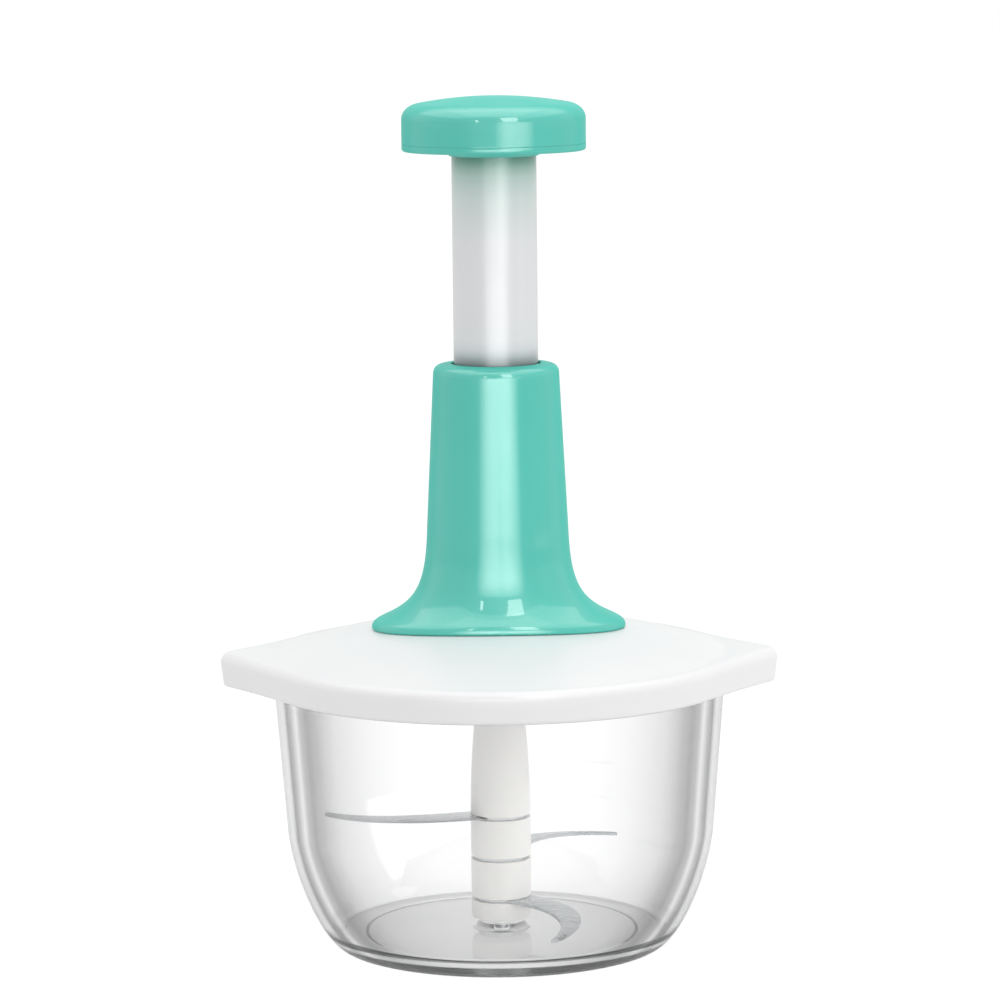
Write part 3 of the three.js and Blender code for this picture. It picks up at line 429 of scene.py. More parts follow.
def brushed_metal(name, first, second, rough, stretch):
    """Steel with a drawn or ground grain along one direction."""
    material, nodes, links, base = shader(name)
    streak = noise(nodes, links, scale=60, detail=6, stretch=stretch)
    cloud = noise(nodes, links, scale=30, detail=3)
    links.new(tone(nodes, links, cloud, first, second), base.inputs["Base Color"])
    streaked = spread(nodes, links, streak, *shares_of(rough, STREAK_SHARES))
    links.new(streaked, base.inputs["Roughness"])
    links.new(bump(nodes, links, streak, GRAIN, GRAIN_DEPTH), base.inputs["Normal"])
    base.inputs["Metallic"].default_value = 1
    return material


def soft_rubber(name, first, second):
    material, nodes, links, base = shader(name)
    dust = noise(nodes, links, scale=400, detail=4)
    links.new(tone(nodes, links, dust, first, second), base.inputs["Base Color"])
    links.new(spread(nodes, links, dust, 0.45, 0.6), base.inputs["Roughness"])
    links.new(bump(nodes, links, dust, 0.1, GRAIN_DEPTH), base.inputs["Normal"])
    base.inputs["Subsurface Weight"].default_value = 0.2
    base.inputs["Subsurface Radius"].default_value = (0.002, 0.002, 0.002)
    return material


# Painted shade along the tube, by rise over the tower's mouth and by drop below the knob's collar: dark at
# the mouth, and tinted teal under the knob for its shadow and the teal it reflects
MOUTH_SHADE_STOPS = (
    (0.3, (0.24, 0.28, 0.29)),
    (2, (0.46, 0.49, 0.5)),
    (3.5, (0.69, 0.72, 0.73)),
    (5.6, (0.9, 0.92, 0.93)),
    (9, (1, 1, 1)),
)
KNOB_SHADE_STOPS = (
    (29, (1, 1, 1)),
    (15, (0.87, 0.955, 0.92)),
    (10, (0.77, 0.89, 0.845)),
    (6.6, (0.65, 0.82, 0.75)),
    (3.8, (0.45, 0.65, 0.56)),
    (1.7, (0.2, 0.45, 0.35)),
    (0.3, (0.1, 0.35, 0.26)),
)
SHADE_START = TOWER_TOP - 3  # a little inside the tower's mouth


def sliding_tube(name, first, second, rough):
    """Satin plastic with painted shade where the tube leaves the tower, and painted shade tinted teal under
    the knob.
    """
    material = moulded_plastic(name, first, second, rough, coat=1, ripple=0.02)
    nodes, links = material.node_tree.nodes, material.node_tree.links
    base = nodes["Principled BSDF"]
    base.inputs["Coat Roughness"].default_value = 0.26
    where = nodes.new("ShaderNodeTexCoord")
    split = nodes.new("ShaderNodeSeparateXYZ")
    links.new(where.outputs["Object"], split.inputs["Vector"])
    along = map_range(nodes, links, split.outputs["Z"], (SHADE_START * MM, COLLAR_BOTTOM * MM))
    length = COLLAR_BOTTOM - SHADE_START
    stops = [((TOWER_TOP + rise - SHADE_START) / length, colour) for rise, colour in MOUTH_SHADE_STOPS]
    stops += [(1 - drop / length, colour) for drop, colour in KNOB_SHADE_STOPS]
    # painted shade: a ramp of darkening over the mouth and under the knob, multiplied into the base colour
    painted_shade = ramp_by(nodes, links, along, stops)
    plain = base.inputs["Base Color"].links[0].from_socket
    links.new(mixed_colour(nodes, links, 1, plain, painted_shade, "MULTIPLY"), base.inputs["Base Color"])
    return material


# Painted shade on the bowl's outside: shares of light that it lets in, by how edge on it is seen, which paint
# the dark lines and grey of the thick wall's edges
WALL_SHADE_STOPS = (
    (0.08, 1),
    (0.27, 0.85),
    (0.36, 0.76),
    (0.46, 0.53),
    (0.525, 0.42),
    (0.58, 0.55),
    (0.62, 0.88),
    (0.67, 0.54),
    (0.72, 0.34),
    (0.78, 0.95),
)
OUTSIDE = "outside"  # one on the bowl's outside, nought on its inside
UNDERSIDE = "underside"  # one on the bowl's underside, which is lightly frosted
FROST_ROUGHNESS = 0.35


def marked(nodes, name):
    """The value of a mark on the mesh."""
    mark = nodes.new("ShaderNodeAttribute")
    mark.attribute_name = name
    return mark.outputs["Fac"]


def clear_wall(name):
    """Thick clear wall: polished faces, a faint ripple, a body that takes light in, and painted shade that
    darkens its outside where it is seen edge on.
    """
    material, nodes, links, base = shader(name)
    wave = noise(nodes, links, scale=22, detail=1)
    smudge = noise(nodes, links, scale=60, detail=5)
    stops = [(position, (share**2,) * 3) for position, share in WALL_SHADE_STOPS]
    shade = ramp_by(nodes, links, seen_edge_on(nodes), stops)
    # painted shade on the outside only; the inside stays white
    painted_shade = mixed_colour(nodes, links, marked(nodes, OUTSIDE), (1, 1, 1, 1), shade)
    links.new(painted_shade, base.inputs["Base Color"])
    polish = spread(nodes, links, smudge, 0.0, 0.02)
    rough = scaled_sum(nodes, links, marked(nodes, UNDERSIDE), FROST_ROUGHNESS, polish)
    links.new(rough, base.inputs["Roughness"])
    links.new(bump(nodes, links, wave, 0.03, RIPPLE_DEPTH), base.inputs["Normal"])
    base.inputs["Transmission Weight"].default_value = 1
    base.inputs["IOR"].default_value = 1.49
    through = nodes.new("ShaderNodeBsdfTransparent")
    through.inputs["Color"].default_value = (0.99, 0.99, 0.99, 1)
    shadow = nodes.new("ShaderNodeLightPath").outputs["Is Shadow Ray"]
    output = nodes["Material Output"]
    glass, clear = base.outputs["BSDF"], through.outputs["BSDF"]
    mixed_surface(nodes, links, shadow, glass, clear, output.inputs["Surface"])
    body = nodes.new("ShaderNodeVolumeAbsorption")
    body.inputs["Color"].default_value = (0.62, 0.66, 0.66, 1)
    body.inputs["Density"].default_value = 9
    links.new(body.outputs["Volume"], output.inputs["Volume"])
    return material


GLOSS = 0.34  # roughness of the glossy plastics
TEAL = moulded_plastic("teal_gloss", srgb(62, 189, 172), srgb(69, 193, 177), GLOSS)
duller_edges(TEAL, coat=1, rise=0.2)
WHITE = moulded_plastic("white_gloss", srgb(237, 236, 237), srgb(240, 239, 240), GLOSS, coat=0.05)
# Painted light: a lighter copy of the white plastic for the blade stack, which brightens it where the lid and
# the glass shade it
LIT_STACK_WHITE = moulded_plastic("stack_lit_gloss", srgb(250, 249, 246), srgb(252, 251, 248), GLOSS, coat=0.05)
TUBE_GREY = sliding_tube("tube_satin", srgb(218, 219, 220), srgb(222, 223, 224), GLOSS)
NATURAL = moulded_plastic("natural_satin", srgb(226, 222, 210), srgb(216, 212, 200), 0.42, ripple=0.08)
CLEAR = clear_wall("clear_bowl_wall")
BLADE_STEEL = brushed_metal("blade_brushed", srgb(206, 208, 210), srgb(190, 193, 196), 0.24, (1, 12, 12))
POLISHED = brushed_metal("polished_steel", srgb(214, 216, 218), srgb(200, 203, 206), 0.14, (8, 8, 1))
SPRING_STEEL = brushed_metal("drawn_wire", srgb(172, 174, 178), srgb(150, 153, 158), 0.3, (6, 6, 1))
SEAL = soft_rubber("seal_rubber", srgb(222, 226, 228), srgb(212, 217, 220))


# Bowl

FOOT_CURVE = (Vector((FOOT_RADIUS, 0)), BELLY, BOWL_SHARES)
FLOOR_CURVE_RISE = 2.5  # the inner wall ends this far over the floor
FLOOR_CURVE_RUN = 4.5  # and the floor starts this far in from there
FLOOR_FALL = 0.15
BOSS_FLARE = 2
BOSS_HEIGHT = 4
BOSS_FILLET = 1.2
BOSS_ROUND = 0.6
RIM_ROUND = 1.1
PIN_TOP_ROUND = 1.6
BOWL_STEPS = 28  # along the curve from foot to belly
MARK_STEPS = 60  # along the same curve, where a vertex is looked up on it
FOOT_SHADE = 0.1  # what is left of the outside's mark, and so of its painted shade, at the foot
FOOT_FADE = 6  # height over which it fades
UNDERSIDE_TOP = RECESS_DEPTH + 0.05  # what lies lower counts as the underside


def bowl_outline():
    outer = bezier(*FOOT_CURVE, BOWL_STEPS)
    inner = []
    for i, point in enumerate(outer):
        tangent = (outer[min(i + 1, len(outer) - 1)] - outer[max(i - 1, 0)]).normalized()
        inner.append(Vector((point.x - tangent.y * BOWL_WALL, point.y + tangent.x * BOWL_WALL)))
    side = [p for p in inner if p.y > BOWL_FLOOR_TOP + FLOOR_CURVE_RISE]
    boss_top = PIN_BOTTOM + BOSS_HEIGHT
    socket = PIN_RADIUS + GAP
    return rounded(
        [(0, RECESS_DEPTH), (RECESS_RADIUS - RECESS_DEPTH, RECESS_DEPTH, SOFT)]
        + [(RECESS_RADIUS, 0, SMALL), (FOOT_RADIUS, 0, SOFT)]
        + [(p.x, p.y) for p in outer[1:]]
        + [(BOWL_RADIUS, BOWL_TOP, RIM_ROUND), (BOWL_RADIUS - BOWL_WALL, BOWL_TOP, RIM_ROUND)]
        + [(p.x, p.y) for p in reversed(side)]
        + [(side[0].x - FLOOR_CURVE_RUN, BOWL_FLOOR_TOP + FLOOR_FALL, FLOOR_CURVE_RISE)]
        + [(BOSS_RADIUS + BOSS_FLARE, BOWL_FLOOR_TOP, BOSS_FILLET), (BOSS_RADIUS, boss_top, BOSS_ROUND)]
        + [(socket, boss_top, CRISP), (socket, PIN_BOTTOM), (0, PIN_BOTTOM)]
    )


def mark_faces(bowl):
    """Marks the underside, and the outer wall for the painted edge shade, less and less down to the foot."""
    mesh = bowl.data
    for name in (OUTSIDE, UNDERSIDE):
        mesh.attributes.new(name, "FLOAT", "POINT")
    outside, underside = (mesh.attributes[name].data for name in (OUTSIDE, UNDERSIDE))
    curve = bezier(*FOOT_CURVE, MARK_STEPS)
    for i, vertex in enumerate(mesh.vertices):
        radius = math.hypot(vertex.co.x, vertex.co.y) / MM
        height = vertex.co.z / MM
        if height > BELLY.y:
            share = (height - BELLY.y) / (BOWL_TOP - BELLY.y)
            wall = BELLY.x + (BOWL_RADIUS - BELLY.x) * share
        else:
            wall = min(curve, key=lambda p: abs(p.y - height)).x
        shade = min(1, FOOT_SHADE + (1 - FOOT_SHADE) * height / FOOT_FADE)
        outside[i].value = shade if radius > wall - BOWL_WALL / 2 else 0
        underside[i].value = 1 if vertex.co.z < UNDERSIDE_TOP * MM else 0


def build_bowl():
    bowl = lathe("bowl_glass", bowl_outline(), AROUND)
    mark_faces(bowl)
    dress(bowl, CLEAR, "bowl_body", "clear_bowl", "bowl")
    pin = [(0, PIN_BOTTOM), (PIN_RADIUS, PIN_BOTTOM, FINE)]
    pin += [(PIN_RADIUS, PIN_TOP, PIN_TOP_ROUND), (0, PIN_TOP)]
    piece = lathe("pivot_pin_turned", rounded(pin), SMALL_AROUND)
    dress(piece, POLISHED, "bowl_body", "polished_steel", "pivot_pin")


# Blade stack

BLADES = (("lower_blade", -38, 60), ("middle_blade", 82, 62.5), ("upper_blade", 202, 65))
BLADE_THICKNESS = 1.2
BLADE_ROOT_WIDTH = 13
BLADE_TIP_WIDTH = 4
BLADE_BEVEL = 3.6
BLADE_EDGE = 0.12
BLADE_DROP = 3
BLADE_SWEEP = math.radians(34)
BLADE_CURL = 1.6  # the power by which the sweep grows along the arm
BLADE_BACK = 0.15  # chamfer of the back edge
BLADE_EYE = 9.6
BLADE_EYE_HOLE = BORE_RADIUS + 2
BLADE_ROOT_SHARE = 0.75  # of the eye's radius, where the arm starts inside it
BLADE_START_SHARE = 0.1
BLADE_STEPS = 64
BLADE_CREASE = math.radians(14)


def blade_piece(name, turn, reach, top):
    """A sickle blade: a flat back, a ground bevel on the leading side, and a tip that dips."""
    start = BLADE_EYE * BLADE_ROOT_SHARE
    half = BLADE_THICKNESS / 2
    matrix = Matrix.Rotation(math.radians(turn), 4, "Z")
    bm = bmesh.new()
    rows = []
    for k in range(BLADE_STEPS + 1):
        share = k / BLADE_STEPS
        radius = start + (reach - start) * share
        lag = -BLADE_SWEEP * share**BLADE_CURL
        width = BLADE_ROOT_WIDTH + (BLADE_TIP_WIDTH - BLADE_ROOT_WIDTH) * share**2
        drop = BLADE_DROP * max(0, share - BLADE_START_SHARE) ** 2
        bevel = min(BLADE_BEVEL, width / 2)
        across = [(-width / 2, -half + BLADE_BACK), (-width / 2 + BLADE_BACK, -half)]
        across += [(width / 2 - bevel, -half), (width / 2, -BLADE_EDGE / 2)]
        across += [(width / 2, BLADE_EDGE / 2), (width / 2 - bevel, half)]
        across += [(-width / 2 + BLADE_BACK, half), (-width / 2, half - BLADE_BACK)]
        row = []
        for y, z in across:
            x = radius * math.cos(lag) - y * math.sin(lag)
            side = radius * math.sin(lag) + y * math.cos(lag)
            row.append(bm.verts.new(matrix @ Vector((x, side, top - half + z - drop)) * MM))
        rows.append(row)
    for low, high in zip(rows, rows[1:]):
        for i in range(len(low)):
            j = (i + 1) % len(low)
            bm.faces.new((low[i], low[j], high[j], high[i]))
    bm.faces.new(rows[0])
    bm.faces.new(rows[-1])
    return finish_mesh(name, bm, BLADE_CREASE)


def build_blades():
    for node, turn, reach in BLADES:
        top = highest(node, Z)
        bottom = top - BLADE_THICKNESS
        arm = blade_piece(node + "_arm", turn, reach, top)
        eye = [(BLADE_EYE_HOLE, bottom), (BLADE_EYE, bottom, BLADE_BACK)]
        eye += [(BLADE_EYE, top, BLADE_BACK), (BLADE_EYE_HOLE, top)]
        ring = lathe(node + "_eye", rounded(eye), SMALL_AROUND)
        dress(arm, BLADE_STEEL, "blade_stack", "blade_steel", node)
        dress(ring, BLADE_STEEL, "blade_stack", "blade_steel")


POST_RADIUS = 6.6
HUB_ROOF = 2  # thickness over the pin
HUB_ROUND = 1.6
CORE = 0.01  # radius of the hub's core, so that its outline is a closed loop
SPACER_BORE = 7
SPACER_ROUND = 0.35
COLUMN_BORE = 7.4
COLUMN_SOCKET = 7.2
COLUMN_SOCKET_DEPTH = 9
COLUMN_TAPER = 2.3
COLUMN_STEPS = 20
POST_ROOM = 0.5  # between the post's top and the column's bore


def stack_piece(name, outline, steps, node):
    """A white piece of the blade stack, turned about Z, in the lighter copy of the white plastic that paints
    light on it.
    """
    dress(lathe(name, rounded(outline), steps), LIT_STACK_WHITE, "blade_stack", "white_plastic", node)


def build_stack():
    hub_top = lowest("lower_spacer", Z) - BLADE_THICKNESS
    socket = PIN_RADIUS + GAP
    hub = [(socket, HUB_BOTTOM, FINE), (SPACER_RADIUS, HUB_BOTTOM, HUB_ROUND), (SPACER_RADIUS, hub_top, FINE)]
    hub += [(POST_RADIUS, hub_top), (POST_RADIUS, POST_TOP), (BORE_RADIUS, POST_TOP)]
    hub += [(BORE_RADIUS, PIN_TOP + HUB_ROOF), (CORE, PIN_TOP + HUB_ROOF)]
    hub += [(CORE, PIN_TOP + GAP), (socket, PIN_TOP + GAP)]
    stack_piece("hub_moulded", hub, SMALL_AROUND, "bottom_hub")
    for node in ("lower_spacer", "middle_spacer"):
        low, high = lowest(node, Z), highest(node, Z)
        ring = [(SPACER_BORE, low), (SPACER_RADIUS, low, SPACER_ROUND)]
        ring += [(SPACER_RADIUS, high, SPACER_ROUND), (SPACER_BORE, high)]
        stack_piece(node + "_moulded", ring, SMALL_AROUND, node)
    radius = highest("blade_column", X)
    column = [(COLUMN_BORE, COLUMN_BOTTOM), (radius, COLUMN_BOTTOM, SPACER_ROUND)]
    for k in range(1, COLUMN_STEPS):
        share = k / COLUMN_STEPS
        z = COLUMN_BOTTOM + (COLUMN_TOP - COLUMN_BOTTOM) * share
        column.append((radius - COLUMN_TAPER * share**2, z))
    socket_floor = COLUMN_TOP - COLUMN_SOCKET_DEPTH
    bore_top = POST_TOP + POST_ROOM
    column += [(radius - COLUMN_TAPER, COLUMN_TOP, SOFT), (COLUMN_SOCKET, COLUMN_TOP, FINE)]
    column += [(COLUMN_SOCKET, socket_floor), (BORE_RADIUS, socket_floor)]
    column += [(BORE_RADIUS, bore_top), (COLUMN_BORE, bore_top)]
    stack_piece("column_moulded", column, AROUND, "blade_column")


# Lid

def tab_arcs():
    """Centres and end angles of the arcs that join each tab to the lid's circle."""
    nose = LID_REACH - TAB_NOSE
    far = LID_RADIUS + TAB_BLEND
    near = TAB_NOSE + TAB_BLEND
    blend_x = (far**2 - near**2 + nose**2) / (2 * nose)
    blend_y = math.sqrt(far**2 - blend_x**2)
    nose_end = math.atan2(blend_y * TAB_NOSE / near, nose + (blend_x - nose) * TAB_NOSE / near)
    return nose, blend_x, blend_y, nose_end, math.atan2(blend_y, blend_x)


def lid_edge(azimuth):
    nose, blend_x, blend_y, nose_end, flank_end = tab_arcs()
    x, y = abs(math.cos(azimuth)), abs(math.sin(azimuth))
    angle = math.atan2(y, x)
    if angle >= flank_end:
        return LID_RADIUS
    if angle <= nose_end:
        cx, cy, radius, side = nose, 0, TAB_NOSE, 1
    else:
        cx, cy, radius, side = blend_x, blend_y, TAB_BLEND, -1
    along = cx * x + cy * y
    return along + side * math.sqrt(max(0, along**2 - cx**2 - cy**2 + radius**2))


def lid_angles():
    """Azimuths round the lid, closer together where the edge bends more."""
    nose_end, flank_end = tab_arcs()[3:]
    quarter = []
    for low, high, steps in ((0, nose_end, 10), (nose_end, flank_end, 16), (flank_end, math.pi / 2, 34)):
        quarter += [low + (high - low) * i / steps for i in range(steps)]
    half = quarter + [math.pi / 2] + [math.pi - a for a in reversed(quarter[1:])]
    return half + [a + math.pi for a in half]


LID_ANGLES = lid_angles()
SIDE_ROWS = (0.33, 0.66)  # shares of the height of the skirt's side
BRIM_ROWS = (0.2, 0.4, 0.6, 0.8)  # shares of the way over the brim
LIP = 0.9  # how far the skirt's lower edge turns in
LIP_RISE = 1.7
CREASE_ROLL = 0.6  # radius over which the brim's top rolls down into the crease
CREASE_FADE_START = 0.84  # cosine of the azimuth where the crease starts to fade towards a tab
CREASE_FADE_SPAN = 0.1
DOME_BLEND = 14  # how far in from the faded crease the dome takes over
DOME_STEPS = 26
CEILING_STEPS = 12
CEILING_STEP_RISE = 1e-3  # keeps the ceiling's rings from lying all in one plane
RIB_ROUND = 0.6
SKIRT_CHAMFER = 0.4
POCKET_INNER = LID_RADIUS - 1.8
POCKET_BLEND = 2  # width of a pocket under a tab where it has its full depth
POCKET_CHAMFER = 0.2
POCKET_LEAST = 0.1  # width that a pocket keeps where there is no tab


def dome_height(r):
    return CREASE_HEIGHT + math.sqrt(DOME_RADIUS**2 - r**2) - math.sqrt(DOME_RADIUS**2 - CREASE_RADIUS**2)


def smoothstep(share):
    share = min(1, max(0, share))
    return share * share * (3 - 2 * share)


def tab_crown(a):
    return TAB_CROWN * smoothstep((lid_edge(a) - LID_RADIUS) / (LID_REACH - LID_RADIUS))


def crease_share(a):
    """One round the dome, and nought towards the tabs, where the dome runs on without a crease."""
    return 1 - smoothstep((abs(math.cos(a)) - CREASE_FADE_START) / CREASE_FADE_SPAN)


def pocket_top(a):
    width = lid_edge(a) - SKIRT_DRAFT - SKIRT_WALL - POCKET_INNER
    return LID_BOTTOM + (BRIM_TOP - LID_WALL - LID_BOTTOM) * smoothstep(width / POCKET_BLEND)


def pocket_outer(a):
    return max(lid_edge(a) - SKIRT_DRAFT - SKIRT_WALL, POCKET_INNER + POCKET_LEAST)


def lid_ring(radius, height):
    """A ring round the lid, whose radius and height are sizes or functions of the azimuth."""
    points = []
    for a in LID_ANGLES:
        r = radius(a) if callable(radius) else radius
        z = height(a) if callable(height) else height
        points.append((r * math.cos(a), r * math.sin(a), z))
    return points


def inside_edge(inset):
    return lambda a: lid_edge(a) - inset


def towards_crease(share):
    """A share of the way from the brim's fillet in to the crease's roll."""
    def radius(a):
        outer = lid_edge(a) - BRIM_FILLET
        return outer + (CREASE_RADIUS + CREASE_ROLL - outer) * share
    return radius


def brim_height(drop, crown_share):
    return lambda a: BRIM_TOP - drop + tab_crown(a) * crown_share


def crease_height(fall):
    return lambda a: BRIM_TOP - fall * crease_share(a)


def dome_top(r, lift):
    return lambda a: min(dome_height(r) + lift * (1 - crease_share(a)), LID_SEAT_TOP)


def brim_rings():
    """From the skirt's lower edge up its side, round the fillet, and over the brim into the crease."""
    rings = []
    for angle in quarter_turn(5):
        inset = SKIRT_DRAFT + LIP * (1 - math.sin(angle))
        rings.append(lid_ring(inside_edge(inset), LID_BOTTOM + LIP_RISE * (1 - math.cos(angle))))
    for share in SIDE_ROWS:
        height = LID_BOTTOM + LIP_RISE + (BRIM_TOP - BRIM_FILLET - LID_BOTTOM - LIP_RISE) * share
        rings.append(lid_ring(inside_edge(SKIRT_DRAFT * (1 - share)), height))
    for angle in quarter_turn(10):
        inset = BRIM_FILLET * (1 - math.cos(angle))
        drop = BRIM_FILLET * (1 - math.sin(angle))
        rings.append(lid_ring(inside_edge(inset), brim_height(drop, math.sin(angle))))
    for share in BRIM_ROWS:
        rings.append(lid_ring(towards_crease(share), brim_height(0, 1 - share * share)))
    for angle in quarter_turn(6):
        fall = (BRIM_TOP - CREASE_HEIGHT) * (1 - math.cos(angle))
        rolled = CREASE_RADIUS + CREASE_ROLL * (1 - math.sin(angle))
        rings.append(lid_ring(rolled, crease_height(fall)))
    return rings


def dome_rings():
    """From the crease to the hole in the middle."""
    rings = []
    for k in range(1, DOME_STEPS + 1):
        r = CREASE_RADIUS + (LID_HOLE - CREASE_RADIUS) * k / DOME_STEPS
        lift = (BRIM_TOP - CREASE_HEIGHT) * (1 - smoothstep((CREASE_RADIUS - r) / DOME_BLEND))
        rings.append(lid_ring(r, dome_top(r, lift)))
    return rings


def underside_rings():
    """From the hole out under the pad and the dome, round the rib and the seal's channel, and
    through the tabs' pockets back to the skirt's lower edge."""
    rings = [lid_ring(LID_HOLE, PAD_BOTTOM), lid_ring(PAD_RADIUS, PAD_BOTTOM)]
    for k in range(CEILING_STEPS + 1):
        r = PAD_RADIUS + (RIB_INNER - PAD_RADIUS) * k / CEILING_STEPS
        rings.append(lid_ring(r, min(dome_height(r) - LID_WALL, PAD_BOTTOM + CEILING_STEP_RISE * k)))
    rib = [(RIB_INNER, CHANNEL_TOP), (RIB_INNER, RIB_BOTTOM, RIB_ROUND)]
    rib += [(RIB_OUTER, RIB_BOTTOM, RIB_ROUND), (RIB_OUTER, CHANNEL_TOP)]
    rings += [lid_ring(r, z) for r, z in rounded(rib)[1:]]
    rings.append(lid_ring(SKIRT_INNER, CHANNEL_TOP))
    rings.append(lid_ring(SKIRT_INNER, LID_BOTTOM + SKIRT_CHAMFER))
    rings.append(lid_ring(SKIRT_INNER + SKIRT_CHAMFER, LID_BOTTOM))
    rings.append(lid_ring(POCKET_INNER - POCKET_CHAMFER, LID_BOTTOM))
    rings.append(lid_ring(POCKET_INNER, pocket_top))
    rings.append(lid_ring(pocket_outer, pocket_top))
    rings.append(lid_ring(lambda a: pocket_outer(a) + POCKET_CHAMFER, LID_BOTTOM))
    return rings


def build_lid():
    lid = rings_piece("lid_moulded", brim_rings() + dome_rings() + underside_rings(), True)
    dress(lid, WHITE, "lid_body", "white_plastic", "lid")


def build_seal():
    inner, outer = RIB_OUTER + GAP, SKIRT_INNER - GAP
    places = ((inner, BOWL_TOP), (outer, BOWL_TOP), (outer, CHANNEL_TOP), (inner, CHANNEL_TOP))
    seal = rounded([(r, z, SOFT) for r, z in places])
    dress(lathe("seal_moulded", seal, AROUND), SEAL, "lid_body", "seal_rubber", "lid_seal")


# Tower

TOWER_UNDERCUT = 0.4  # chamfer of the oval edge, underneath
FLARE_LINING_SHARE = 0.5  # of the wall, by which the inside of the flare lies lower
FLARE_STEPS = 40
EDGE_STEPS = 12
LID_AT_SIDES = dome_height(TOWER_HALF_WIDTH)


def tower_half_depth(half_width):
    """The base is an oval: its depth grows less than its width as the tower flares."""
    flared = max(0, (half_width - WAIST.x) / (TOWER_HALF_WIDTH - WAIST.x))
    return half_width - (TOWER_HALF_WIDTH - TOWER_HALF_DEPTH) * flared


def tower_ring(half_width, half_depth, z):
    """An oval ring. Below the waist its height follows the dome, so the edge lies on it all round."""
    share = max(0, WAIST.y - z) / (WAIST.y - LID_AT_SIDES)
    points = []
    for a in even_angles(AROUND):
        lid_here = dome_height(math.hypot(TOWER_HALF_WIDTH * math.cos(a), TOWER_HALF_DEPTH * math.sin(a)))
        height = z + (lid_here - LID_AT_SIDES) * share
        points.append((half_width * math.cos(a), half_depth * math.sin(a), height))
    return points


def tower_lining(half):
    return max(half - TOWER_WALL, TOWER_BORE)


def build_tower():
    foot = LID_AT_SIDES + GAP
    crest = Vector((TOWER_HALF_WIDTH - EDGE_INSET, foot + EDGE_HEIGHT))
    flare = bezier(WAIST, crest, FLARE_SHARES, FLARE_STEPS)
    edge = bezier(crest, Vector((TOWER_HALF_WIDTH, foot + EDGE_LAND)), EDGE_SHARES, EDGE_STEPS)[1:]
    plate_bottom = TOWER_TOP - TOWER_PLATE
    outline = [(MOUTH_RADIUS, plate_bottom), (MOUTH_RADIUS, TOWER_TOP, SOFT)]
    outline += [(TOWER_TOP_RADIUS, TOWER_TOP - TOWER_CROWN, TOWER_SHOULDER)]
    neck = rounded(outline + [(WAIST.x, WAIST.y)], steps=10)[:-1]
    rings = [tower_ring(r, r, z) for r, z in neck]
    rings += [tower_ring(p.x, tower_half_depth(p.x), p.y) for p in flare + edge]
    rings.append(tower_ring(TOWER_HALF_WIDTH, TOWER_HALF_DEPTH, foot + TOWER_UNDERCUT))
    rings.append(tower_ring(TOWER_HALF_WIDTH - TOWER_UNDERCUT, TOWER_HALF_DEPTH - TOWER_UNDERCUT, foot))
    rings.append(tower_ring(tower_lining(TOWER_HALF_WIDTH), tower_lining(TOWER_HALF_DEPTH), foot))
    for p in reversed(flare):
        height = p.y - TOWER_WALL * FLARE_LINING_SHARE
        rings.append(tower_ring(tower_lining(p.x), tower_lining(tower_half_depth(p.x)), height))
    rings.append(tower_ring(TOWER_BORE, TOWER_BORE, plate_bottom))
    dress(rings_piece("tower_moulded", rings, True), TEAL, "lid_body", "teal_plastic", "tower_shell")


# Plunger

TUBE_TOP = highest("plunger_tube", Z)
KNOB_CEILING = highest("knob_base", Z)
SEAM_HALF_GAP = 0.02
SEAM_ROUND = 0.12
SIDE_STEPS = 24
CROWN_STEPS = 15
COLLAR_TAPER = 0.8
COLLAR_SPREAD = 0.3
COLLAR_FILLET = 0.9
ROD_HOLE = 3


def knob_top_curve(inset):
    """The cap's side and crown, drawn in towards its middle and down by the inset."""
    start = Vector((KNOB_RADIUS, KNOB_BOTTOM + KNOB_SIDE))
    end = Vector((KNOB_CROWN_RADIUS, KNOB_TOP - KNOB_CROWN))
    points = [(p.x, p.y) for p in bezier(start, end, KNOB_SHARES, SIDE_STEPS)]
    for k in range(1, CROWN_STEPS + 1):
        share = 1 - k / CROWN_STEPS
        points.append((KNOB_CROWN_RADIUS * share, KNOB_TOP - KNOB_CROWN * share**2))
    scale = 1 - inset / KNOB_RADIUS
    return [(r * scale, z - inset) for r, z in points]


def build_knob_cap():
    seam = KNOB_SEAM + SEAM_HALF_GAP
    outside = [(KNOB_RADIUS, seam, SEAM_ROUND)] + knob_top_curve(0)
    inside = [(KNOB_RADIUS - KNOB_WALL, seam)] + knob_top_curve(KNOB_WALL)
    cap = rounded(outside + list(reversed(inside)))
    dress(lathe("knob_cap_moulded", cap, AROUND), TEAL, "plunger", "teal_plastic", "knob_cap")


def build_knob_base():
    socket = TUBE_RADIUS + GAP
    skirt = KNOB_RADIUS - KNOB_WALL - GAP
    seam = KNOB_SEAM - SEAM_HALF_GAP
    floor = KNOB_BOTTOM + KNOB_FLOOR
    base = [(socket, COLLAR_BOTTOM, CRISP), (KNOB_COLLAR_RADIUS - COLLAR_TAPER, COLLAR_BOTTOM, SOFT)]
    base += [(KNOB_COLLAR_RADIUS + COLLAR_SPREAD, KNOB_BOTTOM, COLLAR_FILLET)]
    base += [(KNOB_RADIUS, KNOB_BOTTOM, KNOB_CORNER), (KNOB_RADIUS, seam, SEAM_ROUND), (skirt, seam)]
    base += [(skirt, KNOB_SEAM + KNOB_WALL), (skirt - KNOB_WALL, KNOB_SEAM + KNOB_WALL)]
    base += [(skirt - KNOB_WALL, floor), (socket + KNOB_WALL, floor), (socket + KNOB_WALL, KNOB_CEILING)]
    base += [(ROD_HOLE, KNOB_CEILING), (ROD_HOLE, TUBE_TOP), (socket, TUBE_TOP)]
    piece = lathe("knob_base_moulded", rounded(base, steps=8), AROUND)
    dress(piece, TEAL, "plunger", "teal_plastic", "knob_base")


